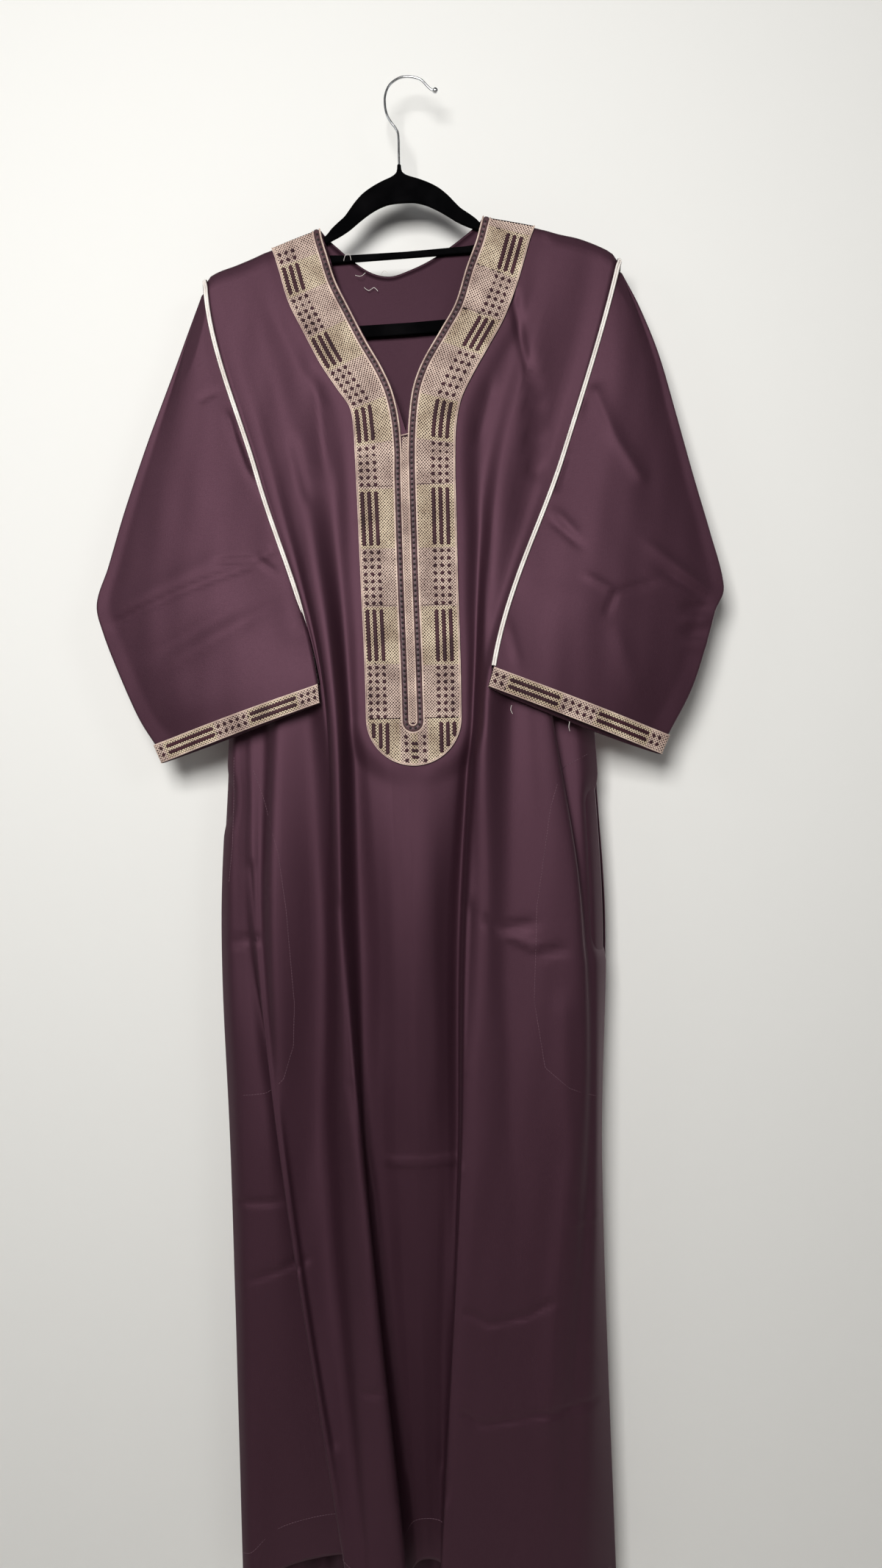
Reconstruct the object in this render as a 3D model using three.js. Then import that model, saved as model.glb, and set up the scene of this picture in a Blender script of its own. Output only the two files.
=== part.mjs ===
// A long plum thobe on a velvet hanger, as it hangs from its hook on a flat wall.
// Millimetres. +X runs to the right of someone facing the garment, +Z is up, and the
// front of the garment faces -Y. The origin is the inside of the hook's crown, where
// the hook sits on whatever holds it. The hanger's plane is y = 0.
//
// Cloth is a wall of even thickness. Each panel is a sheet of points, worked out from a
// short table of the lines that run down it (seams, crests and hollows of the folds),
// and everything that is sewn on a panel is made from the same points, moved out.

import * as THREE from 'three';
import { mergeVertices } from 'three/addons/utils/BufferGeometryUtils.js';

// ---------------------------------------------------------------- driving sizes
const CLOTH = 1.6;          // wall of the plum cloth
const SEAM = 0.3;           // space between two pieces at a seam
const SHOULDER_ROLL = 5;    // radius of the cloth where it turns over the hanger
const BAND_THICK = 1.2;     // embroidered bands
const BAND_LIFT = 1.2;      // their space to the cloth under them
const SLIT_HALF = 2.6;      // half of the lattice strip down the middle
const PIPE_WIDTH = 4.6;     // white braid on the armhole seams
const PIPE_THICK = 1.4;
const HANGER_THICK = 5;
const HANGER_TILT = 3.2;    // degrees, its right arm higher
const HANGER_PEAK = { x: -10, z: -101.5 };
const WIRE = 2.8;           // diameter of the hook's wire

const PLUM = { color: 0x6f5361, roughness: 0.75, metalness: 0 };
const EMBROIDERY = { color: 0xc9b48f, roughness: 0.7, metalness: 0 };
const BRAID = { color: 0x54363f, roughness: 0.7, metalness: 0 };
const WHITE = { color: 0xe9e4da, roughness: 0.7, metalness: 0 };
const VELVET = { color: 0x121214, roughness: 0.95, metalness: 0 };
const CHROME = { color: 0xc8ccd0, roughness: 0.2, metalness: 1 };

// ---------------------------------------------------------------- small tools
const clamp = (value, low, high) => Math.min(high, Math.max(low, value));
const mix = (a, b, t) => a + (b - a) * t;
const ease = (t) => t * t * (3 - 2 * t);
const step = (low, high, value) => ease(clamp((value - low) / (high - low), 0, 1));
const range = (count, from = 0, to = 1) =>
  Array.from({ length: count + 1 }, (_, i) => mix(from, to, i / count));

// Smooth value from a table of rows, by a named key column and a named value column.
function lookUp(rows, key, column, at) {
  const up = rows[1][key] > rows[0][key] ? 1 : -1;
  let i = 0;
  while (i < rows.length - 2 && up * (at - rows[i + 1][key]) > 0) i++;
  const [a, b] = [rows[i], rows[i + 1]];
  const before = rows[Math.max(i - 1, 0)];
  const after = rows[Math.min(i + 2, rows.length - 1)];
  const slope = (p, q) => (q[column] - p[column]) / (q[key] - p[key]);
  const span = b[key] - a[key];
  return hermite(a[column], b[column], slope(before, b) * span, slope(a, after) * span,
    clamp((at - a[key]) / span, 0, 1));
}

function hermite(a, b, slopeA, slopeB, t) {
  const t2 = t * t;
  const t3 = t2 * t;
  return (2 * t3 - 3 * t2 + 1) * a + (t3 - 2 * t2 + t) * slopeA
    + (3 * t2 - 2 * t3) * b + (t3 - t2) * slopeB;
}

// Point on a smooth curve through p[0..3], between p[1] and p[2] (centripetal spacing,
// so that close and distant neighbours both give a fair curve without loops).
function curveBetween(p, t) {
  const gap = (a, b) => Math.max(Math.sqrt(Math.hypot(b.x - a.x, b.y - a.y)), 0.05);
  const [d0, d1, d2] = [gap(p[0], p[1]), gap(p[1], p[2]), gap(p[2], p[3])];
  const tangent = (k) => {
    const s1 = (p[1][k] - p[0][k]) / d0 - (p[2][k] - p[0][k]) / (d0 + d1) + (p[2][k] - p[1][k]) / d1;
    const s2 = (p[2][k] - p[1][k]) / d1 - (p[3][k] - p[1][k]) / (d1 + d2) + (p[3][k] - p[2][k]) / d2;
    return [s1 * d1, s2 * d1];
  };
  const out = {};
  for (const k of ['x', 'y', 'z']) {
    const [s1, s2] = tangent(k);
    out[k] = hermite(p[1][k], p[2][k], s1, s2, t);
  }
  return out;
}

// A point of a measured path at a share of its length.
function alongPath(points, share) {
  const lengths = [0];
  for (let i = 1; i < points.length; i++) {
    const [a, b] = [points[i - 1], points[i]];
    lengths.push(lengths[i - 1] + Math.hypot(b.x - a.x, (b.y ?? 0) - (a.y ?? 0), b.z - a.z));
  }
  const want = share * lengths[lengths.length - 1];
  let i = 1;
  while (i < points.length - 1 && lengths[i] < want) i++;
  const t = clamp((want - lengths[i - 1]) / (lengths[i] - lengths[i - 1]), 0, 1);
  const [a, b] = [points[i - 1], points[i]];
  return { x: mix(a.x, b.x, t), y: mix(a.y ?? 0, b.y ?? 0, t), z: mix(a.z, b.z, t) };
}

// Closed wall from a grid of points (rows down, columns to the right, null where there
// is no cloth). The points are the outer face; the wall goes inwards by `thick`.
// `facing` is 1 where rows x columns turn to the outside, -1 where they turn inwards.
// `seam(i, j)` names the direction ('x' or 'y') in which the cloth meets its neighbour at
// that point: there the wall goes in square to that direction.
function wall(grid, thick, { facing = 1, loop = false, seam = () => null } = {}) {
  const rows = grid.length;
  const columns = grid[0].length;
  const next = (j) => (loop ? (j + 1) % columns : j + 1);
  const lastCell = loop ? columns : columns - 1;
  const cells = [];
  for (let i = 0; i < rows - 1; i++) {
    for (let j = 0; j < lastCell; j++) {
      const corners = [[i, j], [i + 1, j], [i + 1, next(j)], [i, next(j)]];
      if (corners.every(([r, c]) => grid[r][c])) cells.push(corners);
    }
  }
  const index = new Map();
  const outer = [];
  const normals = [];
  const square = [];
  const idOf = ([r, c]) => {
    const key = r * columns + c;
    if (!index.has(key)) {
      index.set(key, outer.length);
      const p = grid[r][c];
      outer.push(new THREE.Vector3(p.x, p.y, p.z));
      normals.push(new THREE.Vector3());
      square.push(seam(r, c));
    }
    return index.get(key);
  };
  const triangles = [];
  const edges = new Map();
  for (const corners of cells) {
    const [a, b, c, d] = corners.map(idOf);
    const shortAC = outer[a].distanceTo(outer[c]) <= outer[b].distanceTo(outer[d]);
    const pair = shortAC ? [[a, b, c], [a, c, d]] : [[a, b, d], [b, c, d]];
    for (const tri of pair) {
      const [p, q, r] = tri.map((k) => outer[k]);
      const n = q.clone().sub(p).cross(r.clone().sub(p)).multiplyScalar(facing);
      const size = n.length();
      if (size > 0) tri.forEach((k) => normals[k].addScaledVector(n, 1 / Math.sqrt(size)));
      const turned = facing > 0 ? tri : [tri[0], tri[2], tri[1]];
      triangles.push(turned);
      for (let k = 0; k < 3; k++) {
        const [u, v] = [turned[k], turned[(k + 1) % 3]];
        if (edges.has(`${v}_${u}`)) edges.delete(`${v}_${u}`);
        else edges.set(`${u}_${v}`, [u, v]);
      }
    }
  }
  const inner = outer.map((p, k) => {
    const n = normals[k];
    if (square[k]) n[square[k]] = 0;
    return p.clone().addScaledVector(n.normalize(), -thick);
  });
  const position = [];
  const put = (...points) => points.forEach((p) => position.push(p.x, p.y, p.z));
  for (const [a, b, c] of triangles) {
    put(outer[a], outer[b], outer[c]);
    put(inner[a], inner[c], inner[b]);
  }
  for (const [u, v] of edges.values()) {
    put(outer[u], inner[u], inner[v]);
    put(outer[u], inner[v], outer[v]);
  }
  return fromPositions(position);
}

function fromPositions(position) {
  const geometry = new THREE.BufferGeometry();
  geometry.setAttribute('position', new THREE.Float32BufferAttribute(position, 3));
  return mergeVertices(geometry, 1e-4);
}

// The same grid, moved along its own outward direction.
function movedOut(grid, distance, facing = 1) {
  const at = (i, j) => grid[clamp(i, 0, grid.length - 1)][clamp(j, 0, grid[0].length - 1)];
  return grid.map((row, i) => row.map((p, j) => {
    const down = vector(at(i - 1, j), at(i + 1, j));
    const across = vector(at(i, j - 1), at(i, j + 1));
    const n = down.cross(across).normalize().multiplyScalar(facing * distance);
    return { x: p.x + n.x, y: p.y + n.y, z: p.z + n.z };
  }));
}

const vector = (a, b) => new THREE.Vector3(b.x - a.x, b.y - a.y, b.z - a.z);

const garment = new THREE.Group();
function add(name, geometry, look, parent = garment) {
  const mesh = new THREE.Mesh(geometry, new THREE.MeshStandardMaterial(look));
  mesh.name = name;
  parent.add(mesh);
  return mesh;
}

// ---------------------------------------------------------------- shoulder and neck
// Ridge of the shoulders, where the front meets the back on top of the hanger.
const SHOULDER = [
  { x: -223, z: -223 }, { x: -220, z: -215 }, { x: -208, z: -207.5 }, { x: -189, z: -201 },
  { x: -148, z: -184 }, { x: -96, z: -165 }, { x: -8, z: -158 }, { x: 79, z: -155 },
  { x: 134, z: -166 }, { x: 161, z: -174 }, { x: 185, z: -180 }, { x: 205, z: -188 },
  { x: 221, z: -198 }, { x: 227, z: -208 },
];
const NECK_LEFT = { x: -96, z: -165 };
const NECK_RIGHT = { x: 79, z: -155 };
const SLIT_TOP = { x: -8, z: -391 };

// Edge of the open neck: how far it stands left and right at each height.
const NECK_EDGE = [
  { z: -165, left: -96, right: 80 },
  { z: -195, left: -89, right: 74 },
  { z: -225, left: -80, right: 65 },
  { z: -256, left: -65, right: 47 },
  { z: -292, left: -48, right: 26 },
  { z: -320, left: -32, right: 8 },
  { z: -346, left: -20, right: -1 },
  { z: -371, left: -14, right: -4.5 },
  { z: -391, left: -11, right: -6 },
];
// Outer edge of the embroidered bib.
const BIB_EDGE = [
  { z: -184, left: -150, right: 137 },
  { z: -210, left: -142, right: 122 },
  { z: -237, left: -136, right: 113 },
  { z: -261, left: -126, right: 104 },
  { z: -289, left: -111, right: 88 },
  { z: -319, left: -97, right: 69 },
  { z: -345, left: -79, right: 54 },
  { z: -365, left: -67, right: 46.5 },
  { z: -390, left: -64, right: 45 },
  { z: -556, left: -60, right: 45 },
  { z: -698, left: -56, right: 45 },
];
const BIB_FOOT = { x: -6, z: -698, radius: 51 };
const SLIT_FOOT = { x: -7, z: -707 };

const ridgeZ = (x) => lookUp(SHOULDER, 'x', 'z', clamp(x, -223, 227));

// How far the cloth can stand forward or back at a depth below the shoulder ridge.
function rollOver(below) {
  const t = clamp(below / SHOULDER_ROLL, 0, 1);
  return 0.2 + SHOULDER_ROLL * Math.sqrt(1 - (1 - t) ** 2) + 0.3 * Math.max(below - SHOULDER_ROLL, 0);
}

// The bib is stiff with stitching and stands as one fair surface.
const BIB_FORWARD = [
  { z: -160, y: -5 }, { z: -250, y: -10.5 }, { z: -400, y: -17 }, { z: -560, y: -21.5 },
  { z: -700, y: -25 }, { z: -800, y: -27 },
];
function bibY(x, z) {
  const crown = 2.5 * (1 - clamp(Math.abs(x + 8) / 110, 0, 1) ** 2);
  return -Math.min(rollOver(ridgeZ(x) - z), -lookUp(BIB_FORWARD, 'z', 'y', z) + crown);
}
// 1 on the bib, 0 well beside it.
function onBib(x, z) {
  const soft = 22;
  let outside;
  if (z > BIB_FOOT.z) {
    const left = lookUp(BIB_EDGE, 'z', 'left', z);
    const right = lookUp(BIB_EDGE, 'z', 'right', z);
    outside = Math.max(left - x, x - right);
  } else {
    outside = Math.hypot(x - BIB_FOOT.x, z - BIB_FOOT.z) - BIB_FOOT.radius;
  }
  return 1 - step(4, 4 + soft, outside);
}

// ---------------------------------------------------------------- front panel
// Lines that run down the front, from its left side seam to its right one. x is across
// and y is forward (-) or back (+), each at: chest, underarm, hip, knee, hem. Lines that
// begin under a sleeve have no chest. `hem` is the height of the hem there, and `bow` how
// far the line bends sideways between the shoulder and the chest.
const FRONT_LINES = [
  { line: 'left side', x: [, -208, -221, -216, -212], y: [, 2, 2, 2, 2], hem: -1651 },
  { line: 'left strip', x: [, -201, -210, -203, -201], y: [, -5, -9, -11, -7], hem: -1645 },
  { line: 'left panel', x: [, -194, -198, -172, -173], y: [, -6, -12, -15, 2], hem: -1622 },
  { line: 'left tuck', x: [, -189, -189, -148, -84], y: [, -7, -14, -8, -4], hem: -1606 },
  { line: 'pressed edge', x: [, -182, -180, -156, -91], y: [, -9, -21, -30, -50], hem: -1624 },
  { line: 'foot of fold A', x: [, -166, -173, -151, -86], y: [, -10, -19, -31, -53], hem: -1630 },
  { line: 'crest of fold A', x: [, -152, -160, -146, -80], y: [, -19, -30, -24, -54.5], hem: -1634 },
  { line: 'hollow A to B', x: [, -119, -113, -119, -73], y: [, -20, -14, -14, -56], hem: -1637 },
  { line: 'left armhole', x: [-170, -104, -104, -107, -68], y: [-13, -30, -17, -18, -57], hem: -1640, top: 'left tip', bow: -7 },
  { line: 'left armhole hollow', x: [-157, -101.5, -98, -98.5, -66], y: [-9, -29, -26, -28, -57], hem: -1641, top: -212, bow: -5 },
  { line: 'edge of fold B', x: [-143, -98, -93, -89, -62], y: [-14, -39, -36, -37, -56.5], hem: -1642, top: -200 },
  { line: 'crest of fold B', x: [-125, -88, -85, -68, -28], y: [-18, -42, -41, -46, -47], hem: -1650, top: -184 },
  { line: 'hollow beside B', x: [-97, -74, -70, -67, -33], y: [-12, -20, -13, -14, -16], hem: -1634, top: -166 },
  { line: 'bib left', x: [-64, -58, -46, -51, -24], y: [-17, -22, -22, -10, 7], hem: -1622, top: -150 },
  { line: 'neck left', x: [-36, -32, -29, -31, -18], y: [-19, -24, -28, -14, 9], hem: -1619, top: 'neck left' },
  { line: 'centre', x: [-7.5, -7, -11, -11, -11], y: [-20, -25, -30, -15, 9], hem: -1618, top: 'slit' },
  { line: 'neck right', x: [20, 18, 9, 7, -4], y: [-19, -24, -28, -13, 9], hem: -1619, top: 'neck right' },
  { line: 'bib right', x: [45, 46, 24, 20, 4], y: [-17, -22, -20, -10, 7], hem: -1622, top: 137 },
  { line: 'hollow beside C', x: [79, 58, 38, 30.5, 9], y: [-11, -18, -12, -9, -18], hem: -1630, top: 152 },
  { line: 'edge of fold C', x: [99, 65, 45, 34, 0], y: [-18, -36, -36, -47, -58], hem: -1648, top: 176 },
  { line: 'right armhole hollow', x: [145, 70, 53, 42, 12], y: [-8, -41, -39, -47, -57], hem: -1650, top: 208 },
  { line: 'right armhole', x: [160, 77, 66, 55, 30], y: [-13, -45, -42, -46.5, -54.5], hem: -1652, top: 'right tip', bow: 2 },
  { line: 'shallow hollow', x: [, 97, 90, 82, 58], y: [, -33, -36, -43, -49.5], hem: -1652 },
  { line: 'right plateau', x: [, 118, 127, 119, 79], y: [, -33, -38, -40, -45.5], hem: -1653 },
  { line: 'plateau edge', x: [, 139, 168, 160, 106], y: [, -29, -34, -34.5, -42], hem: -1656 },
  { line: 'right tuck', x: [, 135, 172, 169, 122], y: [, -12, -24, -27, -39], hem: -1657 },
  { line: 'right strip', x: [, 170, 184, 179, 160], y: [, -12, -18, -21, -27], hem: -1666 },
  { line: 'right side', x: [, 190, 198, 188.5, 195], y: [, 2, 2, 2, 2], hem: -1675 },
];
const lineNumber = (name) => FRONT_LINES.findIndex((row) => row.line === name);
const LEFT_ARMHOLE = lineNumber('left armhole');
const RIGHT_ARMHOLE = lineNumber('right armhole');
const NECK_LINE_LEFT = lineNumber('neck left');
const NECK_LINE_RIGHT = lineNumber('neck right');
const CENTRE = lineNumber('centre');

// Heights that go with the columns of the table.
const HIP = -920;
const KNEE = -1180;
const UNDERARM_LEFT = { x: -104, z: -661 };
const UNDERARM_RIGHT = { x: 77, z: -648 };
const SIDE_TOP_LEFT = { x: -208, z: -705 };     // where each side seam begins, behind the cuff
const SIDE_TOP_RIGHT = { x: 190, z: -706 };
const BOW_SHAPE = 6.75;         // makes the bend between shoulder and chest 1 at its widest

function underarmZ(x) {
  if (x < UNDERARM_LEFT.x) {
    return mix(UNDERARM_LEFT.z, SIDE_TOP_LEFT.z,
      (UNDERARM_LEFT.x - x) / (UNDERARM_LEFT.x - SIDE_TOP_LEFT.x));
  }
  if (x > UNDERARM_RIGHT.x) {
    return mix(UNDERARM_RIGHT.z, SIDE_TOP_RIGHT.z,
      (x - UNDERARM_RIGHT.x) / (SIDE_TOP_RIGHT.x - UNDERARM_RIGHT.x));
  }
  const t = (x - UNDERARM_LEFT.x) / (UNDERARM_RIGHT.x - UNDERARM_LEFT.x);
  return mix(UNDERARM_LEFT.z, UNDERARM_RIGHT.z, t) - 110 * t * (1 - t);
}

// Top edge of the front between the sleeve tips: shoulder, neck edge, slit, neck edge,
// shoulder. `c` counts the table's lines, with parts of one between them.
function neckEdgePath(side) {
  return NECK_EDGE.map((row) => ({ x: row[side], z: row.z }));
}
const NECK_PATH = {
  left: [...neckEdgePath('left'), SLIT_TOP],
  right: [SLIT_TOP, ...neckEdgePath('right').reverse()],
};
function topEdge(c) {
  if (c >= NECK_LINE_LEFT && c <= CENTRE) {
    return alongPath(NECK_PATH.left, (c - NECK_LINE_LEFT) / (CENTRE - NECK_LINE_LEFT));
  }
  if (c > CENTRE && c <= NECK_LINE_RIGHT) {
    return alongPath(NECK_PATH.right, (c - CENTRE) / (NECK_LINE_RIGHT - CENTRE));
  }
  const k = clamp(Math.floor(c), LEFT_ARMHOLE, RIGHT_ARMHOLE - 1);
  const x = mix(topX(k), topX(k + 1), c - k);
  return { x, z: ridgeZ(x) };
}
function topX(k) {
  const top = FRONT_LINES[k].top;
  const named = { 'left tip': -222, 'neck left': -96, slit: -8, 'neck right': 79, 'right tip': 226 };
  return named[top] ?? top;
}

// One line's point at level r: 0 top, 1 chest, 2 underarm, 3 hip, 4 knee, 5 hem.
function linePoint(k, r) {
  const row = FRONT_LINES[k];
  const levels = [];
  const hasTop = k >= LEFT_ARMHOLE && k <= RIGHT_ARMHOLE;
  const z2 = underarmZ(row.x[1]);
  if (hasTop) {
    const top = topEdge(k);
    levels.push({ r: 0, x: top.x, y: -7, z: top.z });
    levels.push({ r: 1, x: row.x[0], y: row.y[0], z: mix(top.z, z2, 0.48) });
  }
  levels.push({ r: 2, x: row.x[1], y: row.y[1], z: z2 });
  levels.push({ r: 3, x: row.x[2], y: row.y[2], z: HIP });
  levels.push({ r: 4, x: row.x[3], y: row.y[3], z: KNEE });
  levels.push({ r: 5, x: row.x[4], y: row.y[4], z: row.hem });
  const first = levels[0].r;
  const i = clamp(Math.floor(r) - first, 0, levels.length - 2);
  const z = mix(levels[i].z, levels[i + 1].z, r - levels[i].r);
  const bend = r < 1 ? (row.bow ?? 0) * BOW_SHAPE * r * (1 - r) ** 2 : 0;
  return { x: lookUp(levels, 'z', 'x', z) + bend, y: lookUp(levels, 'z', 'y', z), z };
}

// Point of the front's outer face, at line c and level r.
function frontPoint(c, r) {
  const first = r < 2 ? LEFT_ARMHOLE : 0;
  const last = r < 2 ? RIGHT_ARMHOLE : FRONT_LINES.length - 1;
  const k = clamp(Math.floor(c), first, last - 1);
  const neighbours = [k - 1, k, k + 1, k + 2].map((n) => linePoint(clamp(n, first, last), r));
  const p = curveBetween(neighbours, c - k);
  if (r < 2) {
    const above = [k - 1, k, k + 1, k + 2].map((n) => linePoint(clamp(n, first, last), 0));
    const plain = curveBetween(above, c - k);
    const exact = topEdge(c);
    const share = (1 - r / 2) ** 2;
    p.x += (exact.x - plain.x) * share;
    p.z += (exact.z - plain.z) * share;
  }
  const bib = onBib(p.x, p.z);
  p.y = mix(p.y, bibY(p.x, p.z) + 0.5, bib);
  p.y = clamp(p.y, -rollOver(ridgeZ(p.x) - p.z), r < 2 ? -0.2 : 20);
  return p;
}

// Columns: how many steps from each line to the next.
const FRONT_STEPS = [1, 1, 2, 2, 1, 2, 1, 2, 1, 1, 2, 2, 2, 1, 4, 4, 1, 2, 2, 1, 1, 2, 1, 1, 2, 1, 1];
function columnsFrom(steps) {
  const columns = [];
  steps.forEach((count, k) => {
    for (let n = 0; n < count; n++) columns.push(k + n / count);
  });
  columns.push(steps.length);
  return columns;
}
// One more column just inside each end of the neck edge, where the cloth turns over.
const FRONT_COLUMNS = [...columnsFrom(FRONT_STEPS), NECK_LINE_LEFT + 0.03, NECK_LINE_RIGHT - 0.03]
  .sort((a, b) => a - b);
// Rows above the underarm; the sleeves have the same ones along the armhole.
const TOP_LEVELS = [0, 0.012, 0.04, 0.12, 0.24, 0.4, 0.6, 0.8, 1, 1.2, 1.4, 1.54, 1.68, 1.84];
const LOWER_LEVELS = [2, 2.2, 2.45, 2.75, 3, 3.3, 3.65, 4, 4.25, 4.5, 4.75, 5];

function frontGrid() {
  const rows = [];
  for (const r of [...TOP_LEVELS, ...LOWER_LEVELS]) {
    rows.push(FRONT_COLUMNS.map((c) => {
      const hidden = r < 2 && (c < LEFT_ARMHOLE || c > RIGHT_ARMHOLE);
      return hidden ? null : frontPoint(c, r);
    }));
  }
  return rows;
}
add('front_panel', wall(frontGrid(), CLOTH, {
  seam: (i, j) => {
    const c = FRONT_COLUMNS[j];
    if (i === 0) return c <= NECK_LINE_LEFT || c >= NECK_LINE_RIGHT ? 'y' : null;
    const armhole = c === LEFT_ARMHOLE || c === RIGHT_ARMHOLE;
    return armhole && i < TOP_LEVELS.length ? 'x' : null;
  },
}), PLUM);

// ---------------------------------------------------------------- back panel
// Lines down the back: x across and y back (+), each at: shoulder, chest, underarm, hip,
// knee, hem.
const BACK_LINES = [
  { line: 'left side', x: [-222, -214, -209, -221, -216, -212], y: [7, 8, 7, 7, 7, 7], hem: -1651 },
  { line: 'fold 1 crest', x: [-205, -196, -193, -202, -195, -190], y: [7, 14, 17, 20, 22, 24], hem: -1650 },
  { line: 'fold 1 hollow', x: [-178, -170, -166, -165, -161, -158], y: [7, 9, 11, 13, 14, 16], hem: -1648 },
  { line: 'fold 2 crest', x: [-150, -140, -133, -128, -128, -128], y: [7, 16, 21, 26, 31, 36], hem: -1652 },
  { line: 'fold 2 foot', x: [-122, -108, -105, -104, -104, -104], y: [7, 10, 13, 15, 16, 18], hem: -1648 },
  { line: 'neck left', x: [-96, -72, -66, -62, -66, -70], y: [7, 10, 14, 18, 21, 24], hem: -1648 },
  { line: 'back hollow', x: [-50, -40, -37, -34, -32, -30], y: [7, 9, 12, 14, 15, 17], hem: -1650 },
  { line: 'centre', x: [-8, -8, -8, -8, -6, -4], y: [7, 11, 17, 22, 27, 32], hem: -1655 },
  { line: 'right hollow', x: [34, 26, 24, 22, 24, 26], y: [7, 9, 12, 14, 15, 17], hem: -1654 },
  { line: 'neck right', x: [79, 62, 56, 52, 54, 56], y: [7, 13, 19, 24, 29, 34], hem: -1660 },
  { line: 'fold 3 foot', x: [108, 96, 89, 84, 84, 84], y: [7, 9, 12, 14, 15, 17], hem: -1660 },
  { line: 'fold 3 crest', x: [140, 130, 122, 118, 118, 118], y: [7, 15, 20, 24, 28, 33], hem: -1664 },
  { line: 'fold 4 hollow', x: [175, 165, 156, 152, 149, 148], y: [7, 9, 11, 13, 14, 16], hem: -1666 },
  { line: 'fold 4 crest', x: [206, 196, 176, 182, 177, 180], y: [7, 13, 16, 19, 21, 23], hem: -1672 },
  { line: 'right side', x: [226, 213, 191, 198, 188.5, 195], y: [7, 8, 7, 7, 7, 7], hem: -1675 },
];
const BACK_NECK = [
  { x: -96, z: -165 }, { x: -82, z: -178 }, { x: -62, z: -196 }, { x: -42, z: -209 },
  { x: -22, z: -213 }, { x: -2, z: -207 }, { x: 22, z: -196 }, { x: 48, z: -179 },
  { x: 79, z: -155 },
];
const BACK_CHEST = -440;
const BACK_UNDERARM = -705;

function backTopZ(x) {
  const inNeck = x > NECK_LEFT.x && x < NECK_RIGHT.x;
  return inNeck ? lookUp(BACK_NECK, 'x', 'z', x) : ridgeZ(x);
}
function backLevels(k) {
  const row = BACK_LINES[k];
  return [ridgeZ(row.x[0]), BACK_CHEST, BACK_UNDERARM, HIP, KNEE, row.hem]
    .map((z, n) => ({ z, x: row.x[n], y: row.y[n] }));
}
function backLine(k, r) {
  const levels = backLevels(k);
  const i = clamp(Math.floor(r), 0, 4);
  const z = mix(levels[i].z, levels[i + 1].z, r - i);
  return { x: lookUp(levels, 'z', 'x', z), y: lookUp(levels, 'z', 'y', z), z };
}
// Point of the back's outer face, at line c and level r, which counts the table's heights
// from 0 at the top to 5 at the hem.
function backPoint(c, r) {
  const last = BACK_LINES.length - 1;
  const k = clamp(Math.floor(c), 0, last - 1);
  const four = [k - 1, k, k + 1, k + 2].map((n) => backLine(clamp(n, 0, last), r));
  const p = curveBetween(four, c - k);
  if (r < 1) {
    const top = [k - 1, k, k + 1, k + 2].map((n) => backLine(clamp(n, 0, last), 0));
    const plain = curveBetween(top, c - k);
    p.z += (backTopZ(plain.x) - plain.z) * (1 - r) ** 1.5;
  }
  p.y = Math.min(p.y, rollOver(ridgeZ(p.x) - p.z));
  return p;
}
const BACK_STEPS = [1, 1, 1, 1, 1, 2, 3, 3, 2, 1, 1, 1, 1, 1];
const BACK_NECK_LEFT = 5;
const BACK_NECK_RIGHT = 9;
const BACK_COLUMNS = [...columnsFrom(BACK_STEPS), BACK_NECK_LEFT + 0.13, BACK_NECK_RIGHT - 0.13]
  .sort((a, b) => a - b);
const BACK_LEVELS = [0, 0.018, 0.05, 0.2, 0.4, 0.6, 0.8, 1, 1.4, 1.8, 2, 2.5, 3, 3.5, 4, 4.5, 5];
const backGrid = () => BACK_LEVELS.map((r) => BACK_COLUMNS.map((c) => backPoint(c, r)));
add('back_panel', wall(backGrid(), CLOTH, {
  facing: -1,
  seam: (i, j) => {
    if (i === 0) return 'y';
    const side = j === 0 || j === BACK_COLUMNS.length - 1;
    return side && BACK_LEVELS[i] < 1.8 ? 'x' : null;
  },
}), PLUM);


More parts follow.
